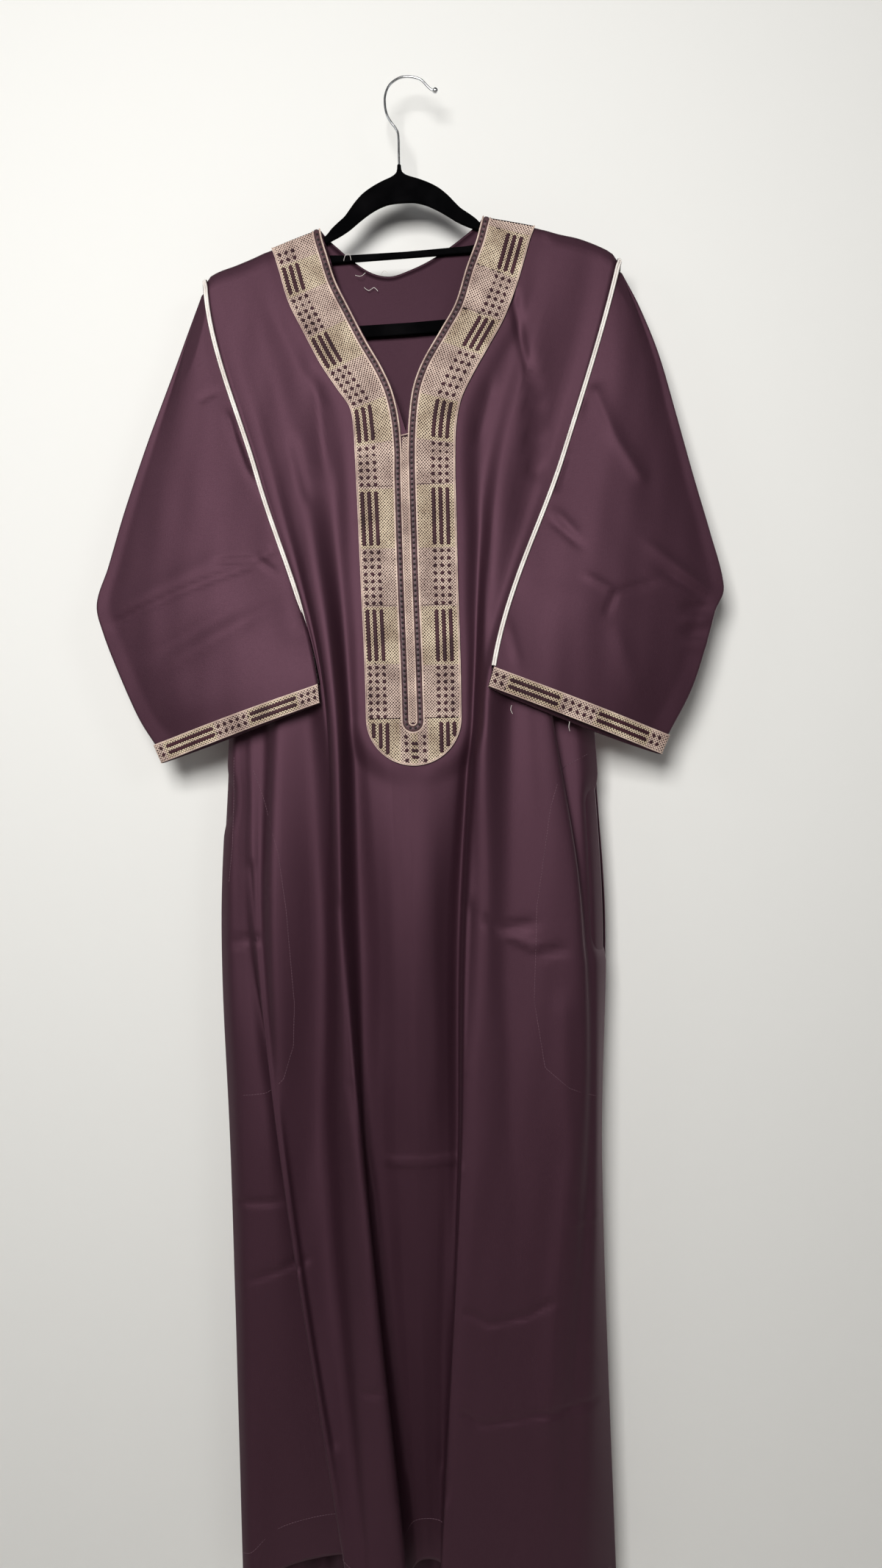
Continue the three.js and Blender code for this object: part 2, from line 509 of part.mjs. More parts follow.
// ---------------------------------------------------------------- sleeves
// Wide flat sleeves that fall from the tips of the hanger. `down` runs along the armhole
// braid, from the tip (0) to the underarm (1). At each section the outer edge stands at
// outerX, outerZ and edgeY; the cloth between braid and edge stands forward at a third
// (near) and at two thirds (far) of the width, and the back layer stands at its inner end
// (backIn) and the same two places.
const LEFT_SLEEVE = {
  line: LEFT_ARMHOLE, side: -1, lift: 9, cuffShift: { inX: 1.5, outX: 8, z: -19.5 },
  sections: [
    { down: 0.02, outerX: -228, outerZ: -234, edgeY: 0, near: -5, far: -3, backIn: 7, backNear: 6, backFar: 4 },
    { down: 0.12, outerX: -246, outerZ: -280, edgeY: 0, near: -9, far: -7, backIn: 7.5, backNear: 7.5, backFar: 6 },
    { down: 0.25, outerX: -268, outerZ: -337, edgeY: -1, near: -12, far: -9, backIn: 8, backNear: 7.8, backFar: 6.5 },
    { down: 0.4, outerX: -293, outerZ: -402, edgeY: -2, near: -16, far: -12, backIn: 8, backNear: 7.8, backFar: 5.5 },
    { down: 0.55, outerX: -316, outerZ: -467, edgeY: -3, near: -22, far: -16, backIn: 8, backNear: 7.4, backFar: 4 },
    { down: 0.68, outerX: -334.5, outerZ: -527, edgeY: -4, near: -29, far: -20, backIn: 7.8, backNear: 6, backFar: 2 },
    { down: 0.77, outerX: -347, outerZ: -567, edgeY: -6, near: -33, far: -23, backIn: 6, backNear: 5, backFar: 0 },
    { down: 0.84, outerX: -340, outerZ: -600, edgeY: -7, near: -36, far: -25, backIn: -6, backNear: -4, backFar: -5 },
    { down: 0.91, outerX: -322, outerZ: -648, edgeY: -8, near: -38, far: -27, backIn: -26, backNear: -18, backFar: -9 },
    { down: 0.96, outerX: -303, outerZ: -692, edgeY: -9, near: -39, far: -29, backIn: -32, backNear: -24, backFar: -12 },
    { down: 1, outerX: -286, outerZ: -720, edgeY: -10, near: -39, far: -28, backIn: -34, backNear: -28, backFar: -16 },
  ],
};
const RIGHT_SLEEVE = {
  line: RIGHT_ARMHOLE, side: 1, lift: 9, cuffShift: { inX: -6, outX: -9, z: -20 },
  sections: [
    { down: 0.02, outerX: 230.5, outerZ: -219, edgeY: 0, near: -5, far: -3, backIn: 7, backNear: 6, backFar: 4 },
    { down: 0.12, outerX: 249, outerZ: -256, edgeY: 0, near: -8, far: -6, backIn: 7.5, backNear: 7, backFar: 5 },
    { down: 0.25, outerX: 269, outerZ: -310, edgeY: -1, near: -12, far: -9, backIn: 8, backNear: 7.6, backFar: 6 },
    { down: 0.4, outerX: 286, outerZ: -375, edgeY: -2, near: -17, far: -12, backIn: 8, backNear: 7.6, backFar: 5 },
    { down: 0.55, outerX: 303, outerZ: -442, edgeY: -3, near: -24, far: -17, backIn: 8, backNear: 7.4, backFar: 3 },
    { down: 0.68, outerX: 319, outerZ: -503, edgeY: -5, near: -32, far: -22, backIn: 8, backNear: 6, backFar: 0 },
    { down: 0.78, outerX: 332, outerZ: -562, edgeY: -7, near: -38, far: -26, backIn: 5, backNear: 3, backFar: -4 },
    { down: 0.84, outerX: 322, outerZ: -588, edgeY: -8, near: -42, far: -28, backIn: -14, backNear: -10, backFar: -9 },
    { down: 0.91, outerX: 311, outerZ: -624, edgeY: -10, near: -45, far: -31, backIn: -34, backNear: -24, backFar: -14 },
    { down: 0.96, outerX: 293, outerZ: -674, edgeY: -12, near: -48, far: -34, backIn: -41, backNear: -31, backFar: -18 },
    { down: 1, outerX: 267, outerZ: -721, edgeY: -14, near: -50, far: -36, backIn: -49.5, backNear: -37.5, backFar: -23 },
  ],
};
const EDGE_ROLL = 2.6;      // radius of the sleeve where front and back layers meet
const BACK_LEAVES = 0.77;   // the back layer leaves the back's side seam here

const edgeRoll = (d) => 0.2 + (EDGE_ROLL + 0.1) * Math.sqrt(1 - (1 - clamp(d / EDGE_ROLL, 0, 1)) ** 2);

// Both layers of a sleeve at a place: `down` as above, `s` from the braid (0) to the
// outer edge (1). Below 1, `cuff` goes down the band (0 to 1).
function sleevePoint(sleeve, down, s, cuff = 0) {
  const at = (column) => lookUp(sleeve.sections, 'down', column, down);
  const braid = frontPoint(sleeve.line, 2 * Math.min(down, 1));
  const inX = braid.x + sleeve.side * (SEAM + 1.7 * step(0.85, 1, down));
  const inY = braid.y - sleeve.lift * step(0.82, 1, down);
  const [outX, outZ, edge] = [at('outerX'), at('outerZ'), at('edgeY')];
  const across = (a, b, c) => lookUp(
    [{ s: 0, y: a }, { s: 0.35, y: b }, { s: 0.7, y: c }, { s: 1, y: edge }], 's', 'y', s);
  const front = across(inY, at('near'), at('far'));
  const back = across(at('backIn'), at('backNear'), at('backFar'));
  const d = (1 - s) * Math.hypot(outX - inX, outZ - braid.z);
  const middle = (front + back) / 2;
  const half = Math.max(Math.min((back - front) / 2, edgeRoll(d) + 0.3 * Math.max(d - EDGE_ROLL, 0)),
    Math.min(edgeRoll(d), 2.7));
  const x = mix(inX, outX, s) + cuff * mix(sleeve.cuffShift.inX, sleeve.cuffShift.outX, s);
  const z = mix(braid.z, outZ, s) + cuff * sleeve.cuffShift.z;
  return { x, z, front: middle - half, back: middle + half };
}
// Where the back layer begins, as a share of the width.
function backStart(sleeve, down) {
  if (down >= 1) return 0;
  const from = Math.min(down, BACK_LEAVES);
  const inner = sleevePoint(sleeve, from, 0);
  const outer = sleevePoint(sleeve, from, 1);
  const c = sleeve.side < 0 ? 0 : BACK_LINES.length - 1;
  const z = mix(inner.z, outer.z, 0.35);
  const sideX = lookUp(backLevels(c), 'z', 'x', z);
  const x = sideX + sleeve.side * 0.9;
  const share = clamp((x - inner.x) / (outer.x - inner.x), 0.02, 0.9);
  return share * (1 - step(BACK_LEAVES, 1, down));
}
const SLEEVE_ROWS = [...TOP_LEVELS.filter((r) => r > 0.02).map((r) => r / 2), 1];
const SLEEVE_COLUMNS = [0, 0.1, 0.22, 0.36, 0.5, 0.65, 0.8, 0.92];

// Shares across a layer from `start` to the edge, the last two on the turn of the edge.
function sharesFrom(start, width) {
  const turn = clamp(EDGE_ROLL / width, 0, 0.4);
  const inner = SLEEVE_COLUMNS.map((s) => start + (1 - turn - start) * (s / 0.92));
  return [...inner, 1 - turn * 0.35, 1];
}
function sleeveGrid(sleeve, layer) {
  const stops = [...SLEEVE_ROWS.map((down) => ({ down, cuff: 0 })), { down: 1, cuff: 0.5 }, { down: 1, cuff: 1 }];
  return stops.map(({ down, cuff }) => {
    const [inner, outer] = [sleevePoint(sleeve, down, 0), sleevePoint(sleeve, down, 1)];
    const width = Math.hypot(outer.x - inner.x, outer.z - inner.z);
    const start = layer === 'back' ? backStart(sleeve, down) : 0;
    return sharesFrom(start, width).map((s) => {
      const p = sleevePoint(sleeve, down, s, cuff);
      return { x: p.x, y: p[layer], z: p.z };
    });
  });
}
for (const [name, sleeve] of [['left', LEFT_SLEEVE], ['right', RIGHT_SLEEVE]]) {
  for (const layer of ['front', 'back']) {
    const facing = (layer === 'front' ? 1 : -1) * sleeve.side;
    const grid = sleeveGrid(sleeve, layer);
    add(`sleeve_${name}_${layer}`, wall(grid, CLOTH, {
      facing,
      seam: (i, j) => {
        if (j === grid[0].length - 1) return 'y';
        return j === 0 && SLEEVE_ROWS[i] < 0.8 ? 'x' : null;
      },
    }), PLUM);
  }
}


// ---------------------------------------------------------------- embroidered bib
// Stations down one side of the neck and slit: the neck edge itself, the line where the
// edge braid ends and the band begins, and the band's outer edge.
const BIB_LEFT = [
  { edgeX: -96.5, edgeZ: -166, innerX: -106.5, innerZ: -169.5, outerX: -150, outerZ: -185.5 },
  { edgeX: -94.5, edgeZ: -177, innerX: -104, innerZ: -180, outerX: -147, outerZ: -194.5 },
  { edgeX: -89.5, edgeZ: -195, innerX: -99, innerZ: -198.5, outerX: -142, outerZ: -212 },
  { edgeX: -80.5, edgeZ: -225, innerX: -89.5, innerZ: -229, outerX: -132.5, outerZ: -246 },
  { edgeX: -66, edgeZ: -256, innerX: -75, innerZ: -260.5, outerX: -117, outerZ: -279 },
  { edgeX: -49, edgeZ: -291, innerX: -58, innerZ: -295.5, outerX: -99, outerZ: -315 },
  { edgeX: -33, edgeZ: -320, innerX: -41.5, innerZ: -325, outerX: -82, outerZ: -342 },
  { edgeX: -21.5, edgeZ: -346, innerX: -31, innerZ: -350, outerX: -68, outerZ: -364 },
  { edgeX: -14, edgeZ: -376, innerX: -23.5, innerZ: -378, outerX: -64.5, outerZ: -389 },
  { edgeX: -10.6, edgeZ: -410, innerX: -20.4, innerZ: -411, outerX: -63.5, outerZ: -415 },
  { edgeX: -10.3, edgeZ: -480, innerX: -20, innerZ: -480, outerX: -62, outerZ: -480 },
  { edgeX: -10.2, edgeZ: -560, innerX: -19.8, innerZ: -560, outerX: -60, outerZ: -560 },
  { edgeX: -10, edgeZ: -630, innerX: -19.6, innerZ: -630, outerX: -58, outerZ: -630 },
  { edgeX: -9.6, edgeZ: -698, innerX: -19.2, innerZ: -698, outerX: -57, outerZ: -698 },
];
const BIB_RIGHT = [
  { edgeX: 79, edgeZ: -156.5, innerX: 88.5, innerZ: -158, outerX: 136, outerZ: -167.5 },
  { edgeX: 76, edgeZ: -167, innerX: 85.5, innerZ: -170, outerX: 130, outerZ: -183 },
  { edgeX: 71.5, edgeZ: -183, innerX: 81, innerZ: -187, outerX: 124, outerZ: -203 },
  { edgeX: 60.5, edgeZ: -212, innerX: 70, innerZ: -216.5, outerX: 114.5, outerZ: -233 },
  { edgeX: 47.5, edgeZ: -252, innerX: 57, innerZ: -256.5, outerX: 100, outerZ: -269 },
  { edgeX: 31, edgeZ: -281, innerX: 40.5, innerZ: -286, outerX: 82.5, outerZ: -300 },
  { edgeX: 10.5, edgeZ: -316, innerX: 20, innerZ: -321, outerX: 64, outerZ: -332 },
  { edgeX: 1, edgeZ: -344, innerX: 11, innerZ: -348, outerX: 52, outerZ: -357 },
  { edgeX: -3, edgeZ: -376, innerX: 6.8, innerZ: -378, outerX: 46, outerZ: -386 },
  { edgeX: -4.9, edgeZ: -410, innerX: 5, innerZ: -411, outerX: 45.5, outerZ: -415 },
  { edgeX: -4.9, edgeZ: -480, innerX: 5, innerZ: -480, outerX: 45, outerZ: -480 },
  { edgeX: -4.8, edgeZ: -560, innerX: 5.2, innerZ: -560, outerX: 45, outerZ: -560 },
  { edgeX: -4.6, edgeZ: -630, innerX: 5.4, innerZ: -630, outerX: 45, outerZ: -630 },
  { edgeX: -4.4, edgeZ: -698, innerX: 5.8, innerZ: -698, outerX: 45, outerZ: -698 },
];
const FOOT_TURN = { x: -7, z: -698, edge: 2.6, inner: 12.4, outerX: -6, outer: 51, steps: 10 };

// The whole U, from the left shoulder round the foot of the slit to the right shoulder.
function bibStations() {
  const turn = range(FOOT_TURN.steps, Math.PI, 2 * Math.PI).slice(1, -1).map((angle) => {
    const [cos, sin] = [Math.cos(angle), Math.sin(angle)];
    return {
      edgeX: FOOT_TURN.x + FOOT_TURN.edge * cos, edgeZ: FOOT_TURN.z + FOOT_TURN.edge * sin,
      innerX: FOOT_TURN.x + FOOT_TURN.inner * cos, innerZ: FOOT_TURN.z + FOOT_TURN.inner * sin,
      outerX: FOOT_TURN.outerX + FOOT_TURN.outer * cos, outerZ: FOOT_TURN.z + FOOT_TURN.outer * sin,
    };
  });
  return [...overShoulder(BIB_LEFT), ...turn, ...overShoulder(BIB_RIGHT).reverse()];
}
// Two more stations where the bib turns over the shoulder.
function overShoulder([first, second, ...others]) {
  const between = [0.18, 0.45].map((t) => Object.fromEntries(
    Object.keys(first).map((key) => [key, mix(first[key], second[key], t)])));
  return [first, ...between, second, ...others];
}
// Strip of the bib between two of its named edges, `lift` above the cloth.
function bibStrip(from, to, parts, thick, lift) {
  const stations = bibStations();
  const grid = range(parts).map((t) => stations.map((row) => {
    const x = mix(row[`${from}X`], row[`${to}X`], t);
    const z = mix(row[`${from}Z`], row[`${to}Z`], t);
    return { x, y: bibY(x, z), z };
  }));
  return wall(movedOut(grid, lift + thick), thick);
}
const BRAID_THICK = 1.6;
add('neck_band', bibStrip('inner', 'outer', 4, BAND_THICK, BAND_LIFT), EMBROIDERY);

// The braid stops short of the band and stands a little over the cloth's edge.
function braidStrip() {
  const stations = bibStations();
  const grid = [0, 1].map((t) => stations.map((row) => {
    const width = Math.hypot(row.innerX - row.edgeX, row.innerZ - row.edgeZ);
    const share = t * (1 - 0.5 / width);
    const x = mix(row.edgeX, row.innerX, share);
    const z = mix(row.edgeZ, row.innerZ, share);
    return { x, y: bibY(x, z), z };
  }));
  return wall(movedOut(grid, BAND_LIFT + BRAID_THICK), BRAID_THICK);
}
add('edge_braid', braidStrip(), BRAID);

// Lattice strip between the two braids, from the point of the neck to the slit's foot.
function slitStrip() {
  const middle = -7.3;
  const grid = range(8, -396, SLIT_FOOT.z + 12).map((z) => [-1, 0, 1].map((t) => {
    const x = middle + t * (SLIT_HALF - 0.6);
    return { x, y: bibY(x, z), z };
  }));
  return wall(movedOut(grid, BAND_LIFT + 1), 1);
}
add('placket_strip', slitStrip(), EMBROIDERY);

// ---------------------------------------------------------------- cuff bands
// A closed ring round each sleeve's end, made from the sleeve's own two layers.
function cuffBand(sleeve) {
  const out = BAND_LIFT + BAND_THICK;
  const [inner, outer] = [0, 1].map((s) => sleevePoint(sleeve, 1, s));
  const shares = sharesFrom(0, Math.hypot(outer.x - inner.x, outer.z - inner.z)).slice(0, -1);
  const rings = [0, 0.5, 1].map((cuff) => {
    const places = shares.map((s) => sleevePoint(sleeve, 1, s, cuff));
    const front = places.map((p) => ({ x: p.x, y: p.front - out, z: p.z }));
    const back = places.map((p) => ({ x: p.x, y: p.back + out, z: p.z })).reverse();
    const [innerEnd, outerEnd] = [places[0], sleevePoint(sleeve, 1, 1, cuff)];
    const corner = (y) => ({ x: innerEnd.x - sleeve.side * (out + 0.5), y, z: innerEnd.z });
    return [
      ...front,
      { x: outerEnd.x + sleeve.side * (out + 1), y: (outerEnd.front + outerEnd.back) / 2, z: outerEnd.z },
      ...back, corner(innerEnd.back), corner(innerEnd.front),
    ];
  });
  return wall(rings, BAND_THICK, { facing: sleeve.side, loop: true });
}
add('cuff_band_left', cuffBand(LEFT_SLEEVE), EMBROIDERY);
add('cuff_band_right', cuffBand(RIGHT_SLEEVE), EMBROIDERY);

// ---------------------------------------------------------------- armhole braid
// Flat white braid on the armhole seam: up the front from the underarm, over the
// shoulder, and down the back to where the sleeve leaves the side seam.
function pipePath(sleeve) {
  const front = [...TOP_LEVELS.slice(2), 1.985].reverse().map((r) => {
    const p = frontPoint(sleeve.line, r);
    const lift = sleeve.lift * step(0.82, 1, r / 2);
    const shift = sleeve.side * 1.6 * step(0.7, 1, r / 2);
    return { x: p.x + shift, y: p.y - lift - 0.6, z: p.z, nx: 0.15 * sleeve.side, ny: -1, nz: 0 };
  });
  const tip = frontPoint(sleeve.line, 0);
  const c = sleeve.side < 0 ? 0 : BACK_LINES.length - 1;
  const over = [
    { x: tip.x + sleeve.side * 1, y: -5, z: tip.z + 0.4, nx: 0.6 * sleeve.side, ny: -0.7, nz: 0.5 },
    { x: tip.x + sleeve.side * 1, y: 0, z: tip.z + 2.6, nx: 0.75 * sleeve.side, ny: 0, nz: 0.8 },
    { x: tip.x + sleeve.side * 1, y: 5, z: tip.z + 0.4, nx: 0.6 * sleeve.side, ny: 0.7, nz: 0.5 },
  ];
  const back = [0.05, 0.13, 0.25, 0.4, 0.55, 0.7, 0.85, 1, 1.25, 1.44].map((r) => {
    const p = backPoint(c, r);
    return { x: p.x + sleeve.side * 0.4, y: p.y + 0.4, z: p.z, nx: 0.1 * sleeve.side, ny: 1, nz: 0 };
  });
  return [...front, ...over, ...back];
}
function pipe(sleeve) {
  const path = pipePath(sleeve);
  const grid = path.map((p, i) => {
    const before = path[Math.max(i - 1, 0)];
    const after = path[Math.min(i + 1, path.length - 1)];
    const n = new THREE.Vector3(p.nx, p.ny, p.nz).normalize();
    const along = vector(before, after).normalize();
    const across = along.clone().cross(n).normalize();
    return [-1, 1].map((t) => {
      const q = new THREE.Vector3(p.x, p.y, p.z)
        .addScaledVector(across, t * PIPE_WIDTH / 2)
        .addScaledVector(n, BAND_LIFT + PIPE_THICK);
      return { x: q.x, y: q.y, z: q.z };
    });
  });
  return wall(grid, PIPE_THICK, { facing: -1 });
}
add('armhole_braid_left', pipe(LEFT_SLEEVE), WHITE);
add('armhole_braid_right', pipe(RIGHT_SLEEVE), WHITE);

// ---------------------------------------------------------------- inside
// What is sewn to the inside of a panel is made from the panel's own points, moved in.
const INSIDE_GAP = 2;
const LINING_THICK = 1;

function insidePatch(rows, facing, gap = INSIDE_GAP) {
  return wall(movedOut(rows, -(CLOTH + gap), facing), LINING_THICK, { facing });
}
// Facing of the back neck: follows the neckline and ends in an almost level edge.
const FACING_FOOT = [
  { x: -110, z: -262 }, { x: -60, z: -279 }, { x: -8, z: -278 }, { x: 50, z: -272 }, { x: 100, z: -252 },
];
const FACING_COLUMNS = range(8, BACK_NECK_LEFT + 0.3, BACK_NECK_RIGHT - 0.3);
function facingRows() {
  return range(4).map((t) => FACING_COLUMNS.map((c) => {
    const top = backPoint(c, 0);
    const foot = (top.z - lookUp(FACING_FOOT, 'x', 'z', top.x)) / (top.z - BACK_CHEST);
    return backPoint(c, mix(0.012, foot, t));
  }));
}
add('back_neck_facing', insidePatch(facingRows(), -1, 0.8), PLUM);

// Pocket bags, sewn flat to the inside of the front by the side openings.
const POCKETS = {
  left: { from: 0.4, to: 5.1, top: 2.2, foot: 3.65 },
  right: { from: 23, to: 26.6, top: 2.2, foot: 3.65 },
};
const insideFront = movedOut(
  LOWER_LEVELS.map((r) => FRONT_COLUMNS.map((c) => frontPoint(c, r))), -(CLOTH + INSIDE_GAP));
for (const [name, pocket] of Object.entries(POCKETS)) {
  const rows = insideFront.filter((_, i) => LOWER_LEVELS[i] >= pocket.top && LOWER_LEVELS[i] <= pocket.foot)
    .map((row) => row.filter((_, j) => FRONT_COLUMNS[j] >= pocket.from && FRONT_COLUMNS[j] <= pocket.to));
  add(`pocket_${name}`, wall(rows, LINING_THICK), PLUM);
}

// ---------------------------------------------------------------- hanger
// Half outline of the flat hanger, `out` from its middle and `up` from its peak.
const ARM_TOP = [
  { out: 2.5, up: 0 }, { out: 3.4, up: -1.5 }, { out: 5.5, up: -3.6 }, { out: 9.4, up: -5.9 },
  { out: 20, up: -9.9 }, { out: 32, up: -15.6 }, { out: 42, up: -22 }, { out: 51, up: -30.6 },
  { out: 58, up: -39 }, { out: 63.5, up: -45.3 }, { out: 70, up: -50.4 }, { out: 78, up: -57 },
  { out: 86, up: -65 }, { out: 110, up: -75 }, { out: 140, up: -83 }, { out: 170, up: -94 },
  { out: 188, up: -101 }, { out: 199, up: -107 },
  { out: 204, up: -112 }, { out: 204, up: -119 }, { out: 199, up: -125 }, { out: 191, up: -129 },
  { out: 189, up: -136 }, { out: 189, up: -160 }, { out: 186, up: -170 }, { out: 178, up: -176 },
  { out: 168, up: -177 },
];
const ARM_BOTTOM = [
  { out: 8, up: -34.8 }, { out: 16, up: -35.8 }, { out: 27, up: -39.5 }, { out: 39, up: -46 },
  { out: 49.5, up: -53.2 }, { out: 59, up: -60 }, { out: 69.5, up: -65.8 }, { out: 80, up: -70.5 },
  { out: 90, up: -76 }, { out: 98, up: -80 }, { out: 102, up: -82.5 }, { out: 100, up: -84.5 },
];
const LOWER_HOLE = [
  { out: 108, up: -94.5 }, { out: 122, up: -94 }, { out: 150, up: -104 },
  { out: 168, up: -112 }, { out: 174, up: -120 }, { out: 174, up: -150 }, { out: 171, up: -157 },
  { out: 164, up: -160.5 },
];
function hangerBody() {
  const tilt = THREE.MathUtils.degToRad(HANGER_TILT);
  const both = (half) => [
    ...half.map((p) => [p.out, p.up]), ...[...half].reverse().map((p) => [-p.out, p.up]),
  ];
  const trace = (Kind, points) => {
    const path = new Kind();
    points.forEach(([out, up], i) => (i ? path.lineTo(out, up) : path.moveTo(out, up)));
    return path;
  };
  const shape = trace(THREE.Shape, both(ARM_TOP));
  shape.holes = [
    trace(THREE.Path, both(ARM_BOTTOM).reverse()),
    trace(THREE.Path, both(LOWER_HOLE).reverse()),
  ];
  const geometry = new THREE.ExtrudeGeometry(shape, { depth: HANGER_THICK, bevelEnabled: false });
  geometry.deleteAttribute('normal');
  geometry.deleteAttribute('uv');
  geometry.translate(0, 0, -HANGER_THICK / 2);
  geometry.rotateX(Math.PI / 2);
  geometry.rotateY(-tilt);
  geometry.translate(HANGER_PEAK.x, 0, HANGER_PEAK.z);
  return mergeVertices(geometry, 1e-4);
}
const hanger = new THREE.Group();
hanger.name = 'hanger';
garment.add(hanger);
add('hanger_body', hangerBody(), VELVET, hanger);

// Solid through round sections: each section is a centre, a direction and a radius.
function roundSolid(sections, sides) {
  const sideways = new THREE.Vector3(0, 1, 0);
  const rings = sections.map(({ centre, along, radius }) => {
    const across = sideways.clone().cross(along).normalize();
    return range(sides, 0, 2 * Math.PI).slice(0, -1).map((angle) => centre.clone()
      .addScaledVector(across, radius * Math.cos(angle))
      .addScaledVector(sideways, radius * Math.sin(angle)));
  });
  const position = [];
  const put = (...points) => points.forEach((p) => position.push(p.x, p.y, p.z));
  for (let i = 0; i < rings.length - 1; i++) {
    for (let j = 0; j < sides; j++) {
      const n = (j + 1) % sides;
      put(rings[i][j], rings[i + 1][n], rings[i + 1][j]);
      put(rings[i][j], rings[i][n], rings[i + 1][n]);
    }
  }
  const last = sections.length - 1;
  for (let j = 0; j < sides; j++) {
    const n = (j + 1) % sides;
    put(sections[0].centre, rings[0][n], rings[0][j]);
    put(sections[last].centre, rings[last][j], rings[last][n]);
  }
  return fromPositions(position);
}

// Short neck of the hanger, in which the hook's stem is set.
const COLLAR = [
  { up: 6.4, radius: 1.9 }, { up: 3, radius: 2.1 }, { up: 1.4, radius: 2.5 }, { up: 0.3, radius: 2.9 },
];
add('hanger_collar', roundSolid(COLLAR.map(({ up, radius }) => ({
  centre: new THREE.Vector3(HANGER_PEAK.x, 0, HANGER_PEAK.z + up),
  along: new THREE.Vector3(0, 0, -1),
  radius,
})), 16), VELVET, hanger);

// Hook: its free end bends out to a ball, then an arch of wire a little wider to its open
// side, then down to the neck.
const HOOK_TIP = [
  { x: 34, z: -13.6 }, { x: 29.5, z: -14.3 }, { x: 25.6, z: -12.6 }, { x: 22, z: -9 },
];
const HOOK_ARCH = { left: 24.2, right: 30, height: 26 };
const HOOK_STEM = [
  { x: -23.3, z: -35 }, { x: -21.4, z: -41.5 }, { x: -17.8, z: -48 }, { x: -13.6, z: -53.8 },
  { x: -10.8, z: -59 }, { x: -10, z: -66 }, { x: -10, z: -80 }, { x: -10, z: -94.6 },
];
function hook() {
  const top = WIRE / 2;
  const arch = [58, 74, 90, 106, 122, 138, 154, 170, 186].map((turn) => {
    const angle = THREE.MathUtils.degToRad(turn);
    const wide = Math.cos(angle) > 0 ? HOOK_ARCH.right : HOOK_ARCH.left;
    return {
      x: wide * Math.cos(angle),
      z: top - HOOK_ARCH.height + HOOK_ARCH.height * Math.sin(angle),
    };
  });
  const path = [...HOOK_TIP, ...arch, ...HOOK_STEM];
  const curve = new THREE.CatmullRomCurve3(path.map((p) => new THREE.Vector3(p.x, 0, p.z)));
  const ends = [
    { at: 0, radius: 1 }, { at: 0.004, radius: 2.5 }, { at: 0.012, radius: 3.2 },
    { at: 0.02, radius: 3 }, { at: 0.028, radius: 2.2 }, { at: 0.034, radius: WIRE / 2 },
    { at: 1, radius: WIRE / 2 },
  ];
  const stops = [0, 0.004, 0.012, 0.02, 0.028, 0.034, ...range(34, 0.05, 1)];
  return roundSolid(stops.map((at) => {
    const k = Math.max(1, ends.findIndex((row) => row.at >= at));
    const [a, b] = [ends[k - 1], ends[k]];
    return {
      centre: curve.getPointAt(at),
      along: curve.getTangentAt(at),
      radius: mix(a.radius, b.radius, (at - a.at) / (b.at - a.at)),
    };
  }), 12);
}
add('hanger_hook', hook(), CHROME, hanger);

export default garment;
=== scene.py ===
import math

import bmesh
import bpy
import numpy as np
from mathutils import Matrix, Vector


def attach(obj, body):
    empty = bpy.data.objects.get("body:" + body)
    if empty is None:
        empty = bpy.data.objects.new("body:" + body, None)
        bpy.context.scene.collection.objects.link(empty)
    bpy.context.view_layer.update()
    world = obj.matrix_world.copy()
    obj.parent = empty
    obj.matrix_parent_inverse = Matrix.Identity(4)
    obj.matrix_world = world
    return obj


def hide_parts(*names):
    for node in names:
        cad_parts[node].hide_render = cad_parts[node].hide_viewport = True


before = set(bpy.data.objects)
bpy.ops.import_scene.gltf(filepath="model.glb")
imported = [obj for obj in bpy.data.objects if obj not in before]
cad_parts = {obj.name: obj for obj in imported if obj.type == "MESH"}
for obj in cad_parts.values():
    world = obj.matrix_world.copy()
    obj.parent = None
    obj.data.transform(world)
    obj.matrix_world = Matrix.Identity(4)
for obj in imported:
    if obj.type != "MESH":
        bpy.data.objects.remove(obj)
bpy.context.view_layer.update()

# ---------------------------------------------------------------- the room
# A pale painted wall stands close behind the hanging thobe and a pale floor lies below it.
# The main light is a soft one in front, a little to the left, with weak ones at both sides and
# one behind. The wall shows from its front only, so the back of the thobe can be looked at.
WALL_BEHIND = 0.047
FLOOR_BELOW = -2.3


def start_material(name):
    """A new material, with its nodes, its links and its shader."""
    material = bpy.data.materials.new(name)
    material.use_nodes = True
    nodes = material.node_tree.nodes
    return material, nodes, material.node_tree.links, nodes["Principled BSDF"]


def noise(nodes, scale, detail=2):
    """Cloudy variation, finer the larger its scale."""
    cloud = nodes.new("ShaderNodeTexNoise")
    cloud.inputs["Scale"].default_value = scale
    cloud.inputs["Detail"].default_value = detail
    return cloud


def put(name, data):
    """Adds an object with this data to the scene."""
    thing = bpy.data.objects.new(name, data)
    bpy.context.collection.objects.link(thing)
    return thing


def room_paint(name, color, roughness):
    """Matt emulsion, faintly uneven from the roller."""
    paint, nodes, links, shader = start_material(name)
    shader.inputs["Roughness"].default_value = roughness
    shader.inputs["Specular IOR Level"].default_value = 0.2
    cloud = noise(nodes, 3.5)
    tone = nodes.new("ShaderNodeMix")
    tone.data_type = "RGBA"
    tone.inputs[6].default_value = (*[v * 0.97 for v in color], 1)
    tone.inputs[7].default_value = (*color, 1)
    links.new(cloud.outputs["Fac"], tone.inputs[0])
    links.new(tone.outputs[2], shader.inputs["Base Color"])
    return paint


def room_plane(name, corners, paint):
    """One flat rectangle of the room."""
    mesh = bpy.data.meshes.new(name)
    mesh.from_pydata(corners, [], [(0, 1, 2, 3)])
    mesh.materials.append(paint)
    put(name, mesh)


